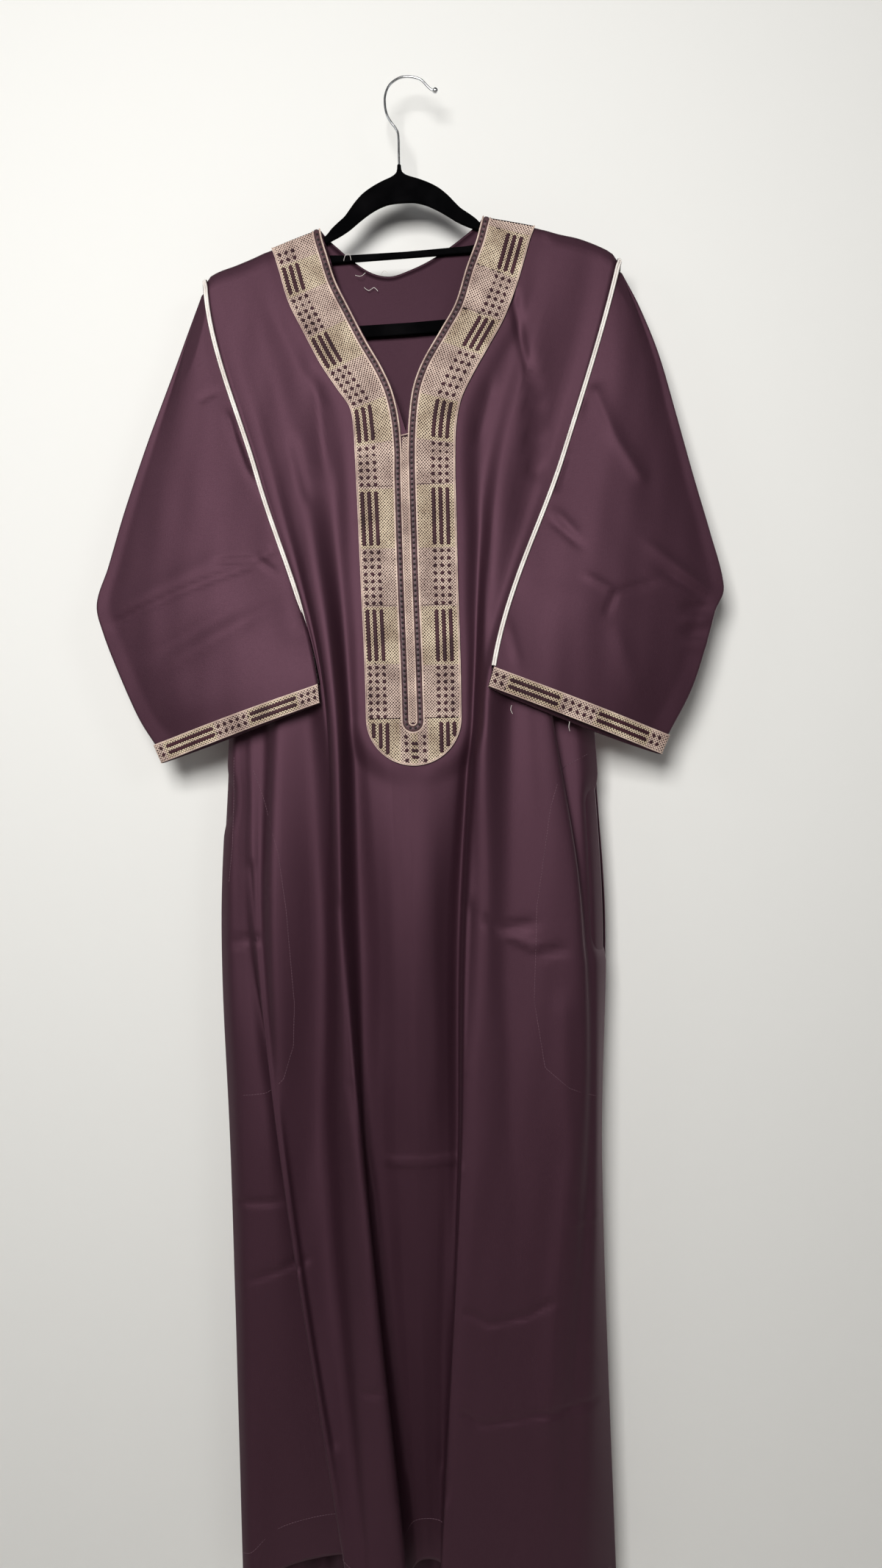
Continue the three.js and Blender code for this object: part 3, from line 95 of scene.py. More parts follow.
wall_paint = room_paint("pale_wall_paint", (0.84, 0.84, 0.82), 0.9)
wall_nodes, wall_links = wall_paint.node_tree.nodes, wall_paint.node_tree.links
behind, ray = wall_nodes.new("ShaderNodeNewGeometry"), wall_nodes.new("ShaderNodeLightPath")
open_side = wall_nodes.new("ShaderNodeMath")
open_side.operation = "MAXIMUM"
wall_links.new(behind.outputs["Backfacing"], open_side.inputs[0])
wall_links.new(ray.outputs["Is Shadow Ray"], open_side.inputs[1])
clear, either = wall_nodes.new("ShaderNodeBsdfTransparent"), wall_nodes.new("ShaderNodeMixShader")
wall_links.new(open_side.outputs[0], either.inputs[0])
wall_links.new(wall_nodes["Principled BSDF"].outputs[0], either.inputs[1])
wall_links.new(clear.outputs[0], either.inputs[2])
wall_links.new(either.outputs[0], wall_nodes["Material Output"].inputs["Surface"])
room_plane("room_wall", [(-6, WALL_BEHIND, FLOOR_BELOW), (6, WALL_BEHIND, FLOOR_BELOW),
                         (6, WALL_BEHIND, 3), (-6, WALL_BEHIND, 3)], wall_paint)
room_plane("room_floor", [(-6, -6, FLOOR_BELOW), (6, -6, FLOOR_BELOW),
                          (6, 6, FLOOR_BELOW), (-6, 6, FLOOR_BELOW)],
           room_paint("pale_floor_paint", (0.62, 0.6, 0.57), 0.7))

eye_data = bpy.data.cameras.new("eye")
eye_data.sensor_width = 36
eye_data.lens = 26
eye_data.clip_start = 0.01
eye = put("eye", eye_data)
# The eye looks straight at the wall from chest height and leans a little to one side.
EYE_PLACE = (0.0215, -1.232, -0.7688)
EYE_LEAN = math.radians(-1.2)
eye.matrix_world = (Matrix.Translation(EYE_PLACE) @ Matrix.Rotation(math.pi / 2, 4, "X")
                    @ Matrix.Rotation(EYE_LEAN, 4, "Z"))
bpy.context.scene.camera = eye


def soft_light(name, place, toward, width, height, power, color):
    """A soft rectangular light that faces a point."""
    data = bpy.data.lights.new(name, "AREA")
    data.shape = "RECTANGLE"
    data.size, data.size_y = width, height
    data.energy = power
    data.color = color
    lamp = put(name, data)
    lamp.location = place
    lamp.rotation_euler = (Vector(toward) - Vector(place)).to_track_quat("-Z", "Y").to_euler()


soft_light("window_light", (-0.4, -1.95, 0.0), (0, 0, -0.5), 0.8, 0.8, 45, (1, 0.985, 0.96))
soft_light("left_fill", (-2.4, -1.5, 0.2), (0, 0, -0.6), 0.9, 0.9, 4, (0.97, 0.98, 1))
soft_light("right_fill", (1.7, -2.2, 0.1), (0, 0, -0.6), 0.8, 0.8, 5, (0.97, 0.98, 1))
soft_light("rear_fill", (2.2, 2.6, 0.6), (0, 0, -0.8), 1.6, 1.6, 70, (1, 0.99, 0.97))
sky = bpy.data.worlds.new("room_air")
sky.use_nodes = True
air_nodes, air_links = sky.node_tree.nodes, sky.node_tree.links
air, seen = air_nodes["Background"], air_nodes.new("ShaderNodeBackground")
air.inputs["Color"].default_value = (0.95, 0.97, 1, 1)
air.inputs["Strength"].default_value = 0.035
seen.inputs["Color"].default_value = (0.8, 0.8, 0.79, 1)
look, pick = air_nodes.new("ShaderNodeLightPath"), air_nodes.new("ShaderNodeMixShader")
air_links.new(look.outputs["Is Camera Ray"], pick.inputs[0])
air_links.new(air.outputs[0], pick.inputs[1])
air_links.new(seen.outputs[0], pick.inputs[2])
air_links.new(pick.outputs[0], air_nodes["World Output"].inputs["Surface"])
bpy.context.scene.world = sky
bpy.context.scene.view_settings.view_transform = "Standard"

# ---------------------------------------------------------------- front panel
# The front is one length of fine plum polyester-viscose from shoulder to hem, cut with a
# deep neck and slit. It hangs from the shoulders in long soft folds; each line below is a
# seam, crest or hollow that runs down it.
MM = 0.001
CLOTH_THICK = 1.1
SHOULDER_ROLL = 5

# name of the line, x at each level, y at each level (forward is negative), hem height;
# levels: chest, underarm, hip, knee, hem
FRONT_LINES = [
    ("left side", (None, -208, -221, -216, -212), (None, 2, 2, 2, 2), -1651),
    ("left strip", (None, -201, -210, -203, -201), (None, -5, -9, -11, -7), -1645),
    ("left panel", (None, -194, -198, -172, -173), (None, -6, -12, -15, 2), -1622),
    ("left tuck", (None, -189, -189, -148, -84), (None, -7, -14, -8, -4), -1606),
    ("pressed edge", (None, -182, -180, -156, -91), (None, -9, -21, -30, -50), -1624),
    ("foot of fold A", (None, -166, -173, -151, -86), (None, -10, -19, -31, -53), -1630),
    ("crest of fold A", (None, -152, -160, -146, -80), (None, -19, -30, -24, -54.5), -1634),
    ("hollow A to B", (None, -119, -113, -119, -73), (None, -20, -14, -14, -56), -1637),
    ("left armhole", (-170, -104, -104, -107, -68), (-13, -30, -17, -18, -57), -1640),
    ("left armhole hollow", (-157, -101.5, -98, -98.5, -66), (-9, -29, -26, -28, -57), -1641),
    ("edge of fold B", (-143, -98, -93, -89, -62), (-14, -39, -36, -37, -56.5), -1642),
    ("crest of fold B", (-125, -88, -85, -68, -28), (-18, -42, -41, -46, -47), -1650),
    ("hollow beside B", (-97, -74, -70, -67, -33), (-12, -20, -13, -14, -16), -1634),
    ("bib left", (-64, -58, -46, -51, -24), (-17, -22, -22, -10, 7), -1622),
    ("neck left", (-36, -32, -29, -31, -18), (-19, -24, -28, -14, 9), -1619),
    ("centre", (-7.5, -7, -11, -11, -11), (-20, -25, -30, -15, 9), -1618),
    ("neck right", (20, 18, 9, 7, -4), (-19, -24, -28, -13, 9), -1619),
    ("bib right", (45, 46, 24, 20, 4), (-17, -22, -20, -10, 7), -1622),
    ("hollow beside C", (79, 58, 38, 30.5, 9), (-11, -18, -12, -9, -18), -1630),
    ("edge of fold C", (99, 65, 45, 34, 0), (-18, -36, -36, -47, -58), -1648),
    ("right armhole hollow", (145, 70, 53, 42, 12), (-8, -41, -39, -47, -57), -1650),
    ("right armhole", (160, 77, 66, 55, 30), (-13, -45, -42, -46.5, -54.5), -1652),
    ("shallow hollow", (None, 97, 90, 82, 58), (None, -33, -36, -43, -49.5), -1652),
    ("right plateau", (None, 118, 127, 119, 79), (None, -33, -38, -40, -45.5), -1653),
    ("plateau edge", (None, 139, 168, 160, 106), (None, -29, -34, -34.5, -42), -1656),
    ("right tuck", (None, 135, 172, 169, 122), (None, -12, -24, -27, -39), -1657),
    ("right strip", (None, 170, 184, 179, 160), (None, -12, -18, -21, -27), -1666),
    ("right side", (None, 190, 198, 188.5, 195), (None, 2, 2, 2, 2), -1675),
]
TOP_X = {"left armhole": -222, "left armhole hollow": -212, "edge of fold B": -200,
         "crest of fold B": -184, "hollow beside B": -166, "bib left": -150, "neck left": -96,
         "centre": -8, "neck right": 79, "bib right": 137, "hollow beside C": 152,
         "edge of fold C": 176, "right armhole hollow": 208, "right armhole": 226}
LINE_NAMES = [row[0] for row in FRONT_LINES]
LEFT_ARMHOLE, RIGHT_ARMHOLE = (LINE_NAMES.index(f"{s} armhole") for s in ("left", "right"))
NECK_LEFT, CENTRE, NECK_RIGHT = (LINE_NAMES.index(n) for n in ("neck left", "centre", "neck right"))
HIP, KNEE = -920, -1180
UNDERARM = {"left": (-104, -661), "right": (77, -648)}
SIDE_TOP = {"left": (-208, -705), "right": (190, -706)}
# how far a line bends sideways between the shoulder and the chest
BOW = {"left armhole": -7, "left armhole hollow": -5, "right armhole": 2}

# x, z of the ridge of the shoulders, from the left sleeve's tip to the right one's
SHOULDER = [(-223, -223), (-220, -215), (-208, -207.5), (-189, -201), (-148, -184), (-96, -165),
            (-8, -158), (79, -155), (134, -166), (161, -174), (185, -180), (205, -188),
            (221, -198), (227, -208)]
# height, x of the left and of the right edge of the open neck
NECK_EDGE = [(-165, -96, 80), (-195, -89, 74), (-225, -80, 65), (-256, -65, 47), (-292, -48, 26),
             (-320, -32, 8), (-346, -20, -1), (-371, -14, -4.5), (-391, -11, -6)]
SLIT_TOP = (-8, -391)
# height, x of the left and of the right outer edge of the embroidered bib
BIB_EDGE = [(-184, -150, 137), (-210, -142, 122), (-237, -136, 113), (-261, -126, 104),
            (-289, -111, 88), (-319, -97, 69), (-345, -79, 54), (-365, -67, 46.5),
            (-390, -64, 45), (-556, -60, 45), (-698, -56, 45)]
BIB_FOOT = (-6, -698, 51)
# height, how far forward the stiff bib stands there
BIB_FORWARD = [(-160, -5), (-250, -10.5), (-400, -17), (-560, -21.5), (-700, -25), (-800, -27)]


def ease(low, high, value):
    """0 below low, 1 above high, smooth between."""
    t = np.clip((np.asarray(value, float) - low) / (high - low), 0, 1)
    return t * t * (3 - 2 * t)


def hermite(a, b, slope_a, slope_b, t):
    """Fair curve from a to b, with these slopes at its ends."""
    t2, t3 = t * t, t * t * t
    return ((2 * t3 - 3 * t2 + 1) * a + (t3 - 2 * t2 + t) * slope_a
            + (3 * t2 - 2 * t3) * b + (t3 - t2) * slope_b)


def smooth_table(keys, values, at):
    """Smooth value between the rows of a table, at places of its keys."""
    keys, values = np.asarray(keys, float), np.asarray(values, float)
    if keys[0] > keys[-1]:
        keys, values = keys[::-1], values[::-1]
    at = np.clip(np.asarray(at, float), keys[0], keys[-1])
    last = len(keys) - 1
    i = np.clip(np.searchsorted(keys, at, side="right") - 1, 0, last - 1)
    before, after = np.maximum(i - 1, 0), np.minimum(i + 2, last)
    span = keys[i + 1] - keys[i]
    slope_a = (values[i + 1] - values[before]) / (keys[i + 1] - keys[before])
    slope_b = (values[after] - values[i]) / (keys[after] - keys[i])
    return hermite(values[i], values[i + 1], slope_a * span, slope_b * span, (at - keys[i]) / span)


def across_lines(lines, c):
    """Points at line numbers c on the fair curve through a row of line points."""
    last = len(lines) - 1
    k = np.clip(np.floor(c).astype(int), 0, last - 1)
    p = [lines[np.clip(k + n, 0, last)] for n in (-1, 0, 1, 2)]
    gap = [np.maximum(np.sqrt(np.linalg.norm(p[n + 1] - p[n], axis=1)), 0.05)[:, None]
           for n in range(3)]
    slope_a = (p[1] - p[0]) / gap[0] - (p[2] - p[0]) / (gap[0] + gap[1]) + (p[2] - p[1]) / gap[1]
    slope_b = (p[2] - p[1]) / gap[1] - (p[3] - p[1]) / (gap[1] + gap[2]) + (p[3] - p[2]) / gap[2]
    return hermite(p[1], p[2], slope_a * gap[1], slope_b * gap[1], (c - k)[:, None])


def ridge_z(x):
    """Height of the ridge of the shoulders."""
    return smooth_table(*zip(*SHOULDER), x)


def roll_over(below):
    """How far the cloth can stand from the hanger's plane, at a depth below the shoulder."""
    t = np.clip(below / SHOULDER_ROLL, 0, 1)
    return 0.2 + SHOULDER_ROLL * np.sqrt(1 - (1 - t) ** 2) + 0.3 * np.maximum(below - SHOULDER_ROLL, 0)


def bib_y(x, z):
    """The bib is stiff with stitching and stands as one fair surface."""
    crown = 2.5 * (1 - np.clip(np.abs(x + 8) / 110, 0, 1) ** 2)
    forward = -smooth_table(*zip(*BIB_FORWARD), z) + crown
    return -np.minimum(roll_over(ridge_z(x) - z), forward)


def on_bib(x, z, soft=22):
    """1 on the bib, falling to 0 beside it."""
    heights, left, right = zip(*BIB_EDGE)
    beside = np.maximum(smooth_table(heights, left, z) - x, x - smooth_table(heights, right, z))
    below = np.hypot(x - BIB_FOOT[0], z - BIB_FOOT[1]) - BIB_FOOT[2]
    return 1 - ease(4, 4 + soft, np.where(z > BIB_FOOT[1], beside, below))


def underarm_z(x):
    """Height of the underarm row: along the cuffs at the sides, dipping between them."""
    (xl, zl), (xr, zr) = UNDERARM["left"], UNDERARM["right"]
    t = np.clip((x - xl) / (xr - xl), 0, 1)
    middle = zl + (zr - zl) * t - 110 * t * (1 - t)
    if x < xl:
        sx, sz = SIDE_TOP["left"]
        return zl + (sz - zl) * (xl - x) / (xl - sx)
    if x > xr:
        sx, sz = SIDE_TOP["right"]
        return zr + (sz - zr) * (x - xr) / (sx - xr)
    return middle


def length_so_far(points):
    """Length of a path from its start to each of its points."""
    return np.concatenate([[0], np.cumsum(np.linalg.norm(np.diff(points, axis=0), axis=1))])


def along_path(points, share):
    """Points at shares of the length of a path."""
    points = np.asarray(points, float)
    run = length_so_far(points)
    want = np.asarray(share) * run[-1]
    return np.stack([np.interp(want, run, points[:, n]) for n in range(points.shape[1])], -1)


NECK_PATH_LEFT = [(left, z) for z, left, _ in NECK_EDGE] + [SLIT_TOP]
NECK_PATH_RIGHT = [SLIT_TOP] + [(right, z) for z, _, right in reversed(NECK_EDGE)]


def top_edge(c):
    """x, z of the front's top edge at line numbers c."""
    names = LINE_NAMES[LEFT_ARMHOLE:RIGHT_ARMHOLE + 1]
    x = np.interp(c, range(LEFT_ARMHOLE, RIGHT_ARMHOLE + 1), [TOP_X[n] for n in names])
    edge = np.stack([x, ridge_z(x)], -1)
    left = (c >= NECK_LEFT) & (c <= CENTRE)
    right = (c > CENTRE) & (c <= NECK_RIGHT)
    edge[left] = along_path(NECK_PATH_LEFT, (c[left] - NECK_LEFT) / (CENTRE - NECK_LEFT))
    edge[right] = along_path(NECK_PATH_RIGHT, (c[right] - CENTRE) / (NECK_RIGHT - CENTRE))
    return edge


def line_points(k, levels):
    """One line's points at levels 0 top, 1 chest, 2 underarm, 3 hip, 4 knee, 5 hem."""
    name, xs, ys, hem = FRONT_LINES[k]
    heights = [underarm_z(xs[1]), HIP, KNEE, hem]
    xs, ys, first = list(xs), list(ys), 2
    if LEFT_ARMHOLE <= k <= RIGHT_ARMHOLE:
        top_x, top_z = top_edge(np.array([float(k)]))[0]
        heights = [top_z, top_z + (heights[0] - top_z) * 0.48] + heights
        xs, ys, first = [top_x] + xs, [-7] + ys, 0
    else:
        xs, ys = xs[1:], ys[1:]
    z = np.interp(levels, range(first, 6), heights)
    bend = BOW.get(name, 0) * 6.75 * np.minimum(levels, 1) * (1 - np.minimum(levels, 1)) ** 2
    return np.stack([smooth_table(heights, xs, z) + bend, smooth_table(heights, ys, z), z], -1)


def front_sheet(c, levels):
    """Points of the front's outer face: a row for each level, at line numbers c."""
    c, levels = np.asarray(c, float), np.asarray(levels, float)
    lines = np.stack([line_points(k, levels) for k in range(len(FRONT_LINES))], 1)
    between = slice(LEFT_ARMHOLE, RIGHT_ARMHOLE + 1)
    top_c = np.clip(c, LEFT_ARMHOLE, RIGHT_ARMHOLE)
    top = np.stack([line_points(k, np.zeros(1))[0] for k in range(len(FRONT_LINES))])[between]
    off = top_edge(top_c) - across_lines(top, top_c - LEFT_ARMHOLE)[:, [0, 2]]
    sheet = []
    for row, level in zip(lines, levels):
        if level < 2:
            points = across_lines(row[between], top_c - LEFT_ARMHOLE)
            points[:, [0, 2]] += off * (1 - level / 2) ** 2
        else:
            points = across_lines(row, c)
        sheet.append(points)
    sheet = np.array(sheet)
    x, y, z = np.moveaxis(sheet, 2, 0)
    y = y + (bib_y(x, z) + 0.5 - y) * on_bib(x, z)
    below = ridge_z(x) - z
    most = np.where(levels < 2, -0.2, 20)[:, None]
    sheet[..., 1] = np.clip(y, -roll_over(below), most)
    return sheet


def front_points(c, level):
    """Points of the front's outer face at line numbers c, at one level."""
    return front_sheet(np.atleast_1d(c), [level])[0]


def spread(steps):
    """Line numbers with so many steps from each line to the next."""
    columns = [k + n / count for k, count in enumerate(steps) for n in range(count)]
    return np.array(columns + [len(steps)])


def grid_mesh(name, grid, material, facing=1, hidden=None, loop=False):
    """A sheet through a grid of points in millimetres, rows down and columns across, with
    its length and width in millimetres as texture coordinates."""
    rows, columns = grid.shape[:2]
    across = np.zeros((rows, columns))
    across[:, 1:] = np.cumsum(np.linalg.norm(np.diff(grid, axis=1), axis=2), axis=1)
    across -= across[:, columns // 2][:, None]
    down = np.zeros((rows, columns))
    down[1:] = np.cumsum(np.linalg.norm(np.diff(grid, axis=0), axis=2), axis=0)
    faces = []
    for i in range(rows - 1):
        for j in range(columns if loop else columns - 1):
            n = (j + 1) % columns
            corners = [(i, j), (i + 1, j), (i + 1, n), (i, n)]
            if hidden is not None and any(hidden[corner] for corner in corners):
                continue
            faces.append([r * columns + q for r, q in (corners if facing > 0 else corners[::-1])])
    mesh = bpy.data.meshes.new(name)
    mesh.from_pydata((grid.reshape(-1, 3) * MM).tolist(), [], faces)
    layer = mesh.uv_layers.new(name="weave")
    index = np.zeros(len(mesh.loops), int)
    mesh.loops.foreach_get("vertex_index", index)
    coordinates = np.stack([across.ravel()[index], down.ravel()[index]], -1) * 0.1
    layer.data.foreach_set("uv", coordinates.ravel())
    mesh.polygons.foreach_set("use_smooth", [True] * len(mesh.polygons))
    if hidden is not None:
        tidy = bmesh.new()
        tidy.from_mesh(mesh)
        bmesh.ops.delete(tidy, geom=[v for v in tidy.verts if not v.link_faces], context="VERTS")
        tidy.to_mesh(mesh)
        tidy.free()
    mesh.materials.append(material)
    return put(name, mesh)


def thicken(piece, thick):
    """Gives a sheet its cloth thickness, inwards."""
    shell = piece.modifiers.new("cloth thickness", "SOLIDIFY")
    shell.thickness = thick * MM
    shell.offset = -1
    return piece


def hang(piece, slot, *nodes):
    """The piece rides with the garment and stands for these solids."""
    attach(piece, "root")
    if nodes:
        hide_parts(*nodes)
    return piece


def weave_group():
    """Fine plain weave: uneven threads both ways, with a soft height."""
    group = bpy.data.node_groups.new("plain weave", "ShaderNodeTree")
    face = group.interface
    for label, default in (("Threads per cm", 26.0), ("Unevenness", 0.5)):
        face.new_socket(label, in_out="INPUT", socket_type="NodeSocketFloat").default_value = default
    face.new_socket("Shade", in_out="OUTPUT", socket_type="NodeSocketFloat")
    face.new_socket("Height", in_out="OUTPUT", socket_type="NodeSocketFloat")
    nodes, links = group.nodes, group.links
    entry, leave = nodes.new("NodeGroupInput"), nodes.new("NodeGroupOutput")
    place = nodes.new("ShaderNodeUVMap")
    place.uv_map = "weave"
    parts = []
    for stretch in ((1, 0.035, 1), (0.035, 1, 1)):
        turn = nodes.new("ShaderNodeMapping")
        turn.inputs["Scale"].default_value = stretch
        links.new(place.outputs["UV"], turn.inputs["Vector"])
        slub = nodes.new("ShaderNodeTexNoise")
        slub.inputs["Detail"].default_value = 3
        slub.inputs["Roughness"].default_value = 0.65
        links.new(turn.outputs["Vector"], slub.inputs["Vector"])
        links.new(entry.outputs["Threads per cm"], slub.inputs["Scale"])
        parts.append(slub.outputs["Fac"])
    both = nodes.new("ShaderNodeMath")
    both.operation = "ADD"
    links.new(parts[0], both.inputs[0])
    links.new(parts[1], both.inputs[1])
    centred = nodes.new("ShaderNodeMath")
    centred.operation = "SUBTRACT"
    centred.inputs[1].default_value = 1
    links.new(both.outputs[0], centred.inputs[0])
    shade = nodes.new("ShaderNodeMath")
    shade.operation = "MULTIPLY"
    links.new(centred.outputs[0], shade.inputs[0])
    links.new(entry.outputs["Unevenness"], shade.inputs[1])
    links.new(shade.outputs[0], leave.inputs["Shade"])
    links.new(centred.outputs[0], leave.inputs["Height"])
    return group


plain_weave = weave_group()


def relief(nodes, links, shader, height, strength, distance):
    """Raises the small unevenness of a material from a height."""
    bump = nodes.new("ShaderNodeBump")
    bump.inputs["Strength"].default_value = strength
    bump.inputs["Distance"].default_value = distance
    links.new(height, bump.inputs["Height"])
    links.new(bump.outputs["Normal"], shader.inputs["Normal"])


def cloth_material(name, color, sheen, gleam):
    """Fine woven cloth with a soft nap."""
    cloth, nodes, links, shader = start_material(name)
    weave = nodes.new("ShaderNodeGroup")
    weave.node_tree = plain_weave
    weave.inputs["Unevenness"].default_value = 1.6
    tone = nodes.new("ShaderNodeMixRGB")
    tone.inputs["Color1"].default_value = (*[v * 0.8 for v in color], 1)
    tone.inputs["Color2"].default_value = (*[v * 1.2 for v in color], 1)
    lift = nodes.new("ShaderNodeMath")
    lift.operation = "ADD"
    lift.inputs[1].default_value = 0.5
    links.new(weave.outputs["Shade"], lift.inputs[0])
    links.new(lift.outputs[0], tone.inputs["Fac"])
    links.new(tone.outputs["Color"], shader.inputs["Base Color"])
    relief(nodes, links, shader, weave.outputs["Height"], 0.3, 0.0004)
    shader.inputs["Roughness"].default_value = 0.6
    shader.inputs["Specular IOR Level"].default_value = gleam
    shader.inputs["Specular Tint"].default_value = (1, 0.5, 0.7, 1)
    shader.inputs["Sheen Weight"].default_value = sheen
    shader.inputs["Sheen Roughness"].default_value = 0.4
    shader.inputs["Sheen Tint"].default_value = (0.9, 0.5, 0.66, 1)
    return cloth


plum_cloth = cloth_material("plum_cloth", (0.017, 0.0055, 0.0098), 0.012, 0.85)
# The wrong side is duller, and its colour is darkened further as painted shade for the inside of the
# garment.
plum_wrong_side_painted_shade = cloth_material("plum_cloth_wrong_side_painted_shade", (0.014, 0.005, 0.0085), 0.01, 0.5)


def crease(points, half, height, fade=0.12):
    """One crease along a line of points: half its width, how far it stands out, its soft ends."""
    return [(start, end, half, height, fade) for start, end in zip(points, points[1:])]


def fan(x, z, arms, half, height):
    """Short creases that spread from one place; arms give the turn in degrees and the length."""
    ends = [(x + length * math.cos(math.radians(turn)), z + length * math.sin(math.radians(turn)))
            for turn, length in arms]
    return [((x, z), end, half, height * (-1) ** place, 0.25) for place, end in enumerate(ends)]


# Creases are given by their x, z places, half their width, and how far they stand out;
# a furrow has a negative height.
FRONT_CREASES = [
    # the long folds that fall from the belly to the hem
    *crease([(-85, -890), (-80, -1080), (-60, -1210), (-50, -1355), (-35, -1520)], 5, -3, 0.05),
    *crease([(50, -895), (40, -1075), (35, -1200), (25, -1350), (10, -1515)], 5, -3, 0.05),
    *crease([(-185, -850), (-175, -990), (-155, -1165), (-125, -1355), (-105, -1465)], 5, -2.5, 0.05),
    *crease([(145, -1000), (150, -1165), (130, -1315), (120, -1450)], 10, 2.4),
    *crease([(-10, -850), (-10, -1150)], 22, 2.5, 0.25),
    *crease([(85, -960), (90, -1200)], 12, -2, 0.25),
    # marks left across it from lying folded
    *crease([(-45, -1175), (35, -1175)], 3, 2),
    *crease([(-205, -1215), (-160, -1215)], 3, -2),
    *crease([(150, -1235), (185, -1235)], 3, 2),
    *crease([(-195, -1300), (-150, -1285), (-130, -1270)], 3, -2),
    *crease([(35, -1320), (60, -1335), (100, -1330), (130, -1315)], 3, -2.4),
    *crease([(30, -1425), (50, -1440), (115, -1435), (175, -1430)], 3, -2.4),
    *crease([(-75, -1405), (-50, -1405)], 3, -1.8),
    *crease([(-210, -935), (-175, -930)], 3, -2.4),
    # the small star of creases beside the right pocket
    *fan(80, -925, [(12, 40), (-25, 45), (140, 20)], 3.5, -3),
    *crease([(120, -950), (150, -945)], 4, -2.4),
    # the chest, hanging from the shoulders
    *crease([(-105, -330), (-95, -430)], 8, -3, 0.2),
    *crease([(-130, -395), (-115, -460)], 6, -2.2, 0.2),
    *crease([(110, -240), (120, -300), (130, -350), (130, -440)], 4, -4),
    *crease([(85, -340), (70, -400)], 6, -2.2, 0.2),
    *crease([(75, -490), (75, -580)], 8, -2, 0.25),
]


def creased(points, creases):
    """Adds creases to points: each is a soft ridge (or, where negative, a furrow)."""
    shape = points.shape
    flat = points.reshape(-1, 3).copy()
    x, z = flat[:, 0], flat[:, 2]
    for (x0, z0), (x1, z1), half, height, fade in creases:
        length = math.hypot(x1 - x0, z1 - z0)
        ux, uz = (x1 - x0) / length, (z1 - z0) / length
        along = ((x - x0) * ux + (z - z0) * uz) / length
        off = np.abs((x - x0) * uz - (z - z0) * ux) / half
        ends = ease(-fade, fade, along) * ease(-fade, fade, 1 - along)
        flat[:, 1] -= height * ends * np.exp(-off ** 1.5)
    return flat.reshape(shape)


def crumpled(points, depth=0.35):
    """Faint unevenness all over cloth that has been folded, worn and hung up again."""
    x, z = points[..., 0], points[..., 2]
    waves = (np.sin(x / 9 + 1.7 * np.sin(z / 83)) * np.sin(z / 61 + x / 40)
             + 0.8 * np.sin(x / 5.3 - z / 47 + 2 * np.sin(z / 120))
             + 0.9 * np.sin(x / 31 + z / 22 + 1.3 * np.sin(x / 19)))
    points = points.copy()
    points[..., 1] += depth * waves * 0.6 * (1 - on_bib(x, z, 8))
    return points


FRONT_STEPS = [4, 4, 6, 8, 4, 4, 8, 6, 2, 3, 5, 7, 8, 8, 8, 8, 8, 8, 8, 5, 3, 6, 8, 8, 5, 7, 7]
front_columns = spread(FRONT_STEPS)
front_levels = np.concatenate([[0, 0.004, 0.01, 0.02, 0.035], np.linspace(0.055, 2, 84),
                               np.linspace(2, 3, 44)[1:], np.linspace(3, 4, 48)[1:],
                               np.linspace(4, 5, 120)[1:]])


# Each side seam is left open for the hand: there the front's edge stands back a little and
# the back shows behind it. side, top and foot of the opening, how far the edge stands back
HAND_OPENINGS = [(-1, -752, -812, 4.5), (1, -770, -955, 6.5)]


def opened(points):
    """Draws the front's edges in along the hand openings."""
    points = points.copy()
    x, z = points[..., 0], points[..., 2]
    for side, top, foot, back_by in HAND_OPENINGS:
        along = ease(foot - 12, foot + 25, z) * (1 - ease(top - 25, top + 12, z))
        edge = -212 if side < 0 else 196
        points[..., 0] -= side * back_by * along * (1 - ease(6, 34, np.abs(x - edge)))
    return points


front_cloth = opened(crumpled(creased(front_sheet(front_columns, front_levels), FRONT_CREASES)))
above = front_levels < 2 - 1e-6
beyond = (front_columns < LEFT_ARMHOLE - 1e-6) | (front_columns > RIGHT_ARMHOLE + 1e-6)
front = thicken(grid_mesh("thobe_front", front_cloth, plum_cloth,
                          hidden=above[:, None] & beyond[None, :]), CLOTH_THICK)
hang(front, "cloth", "front_panel")

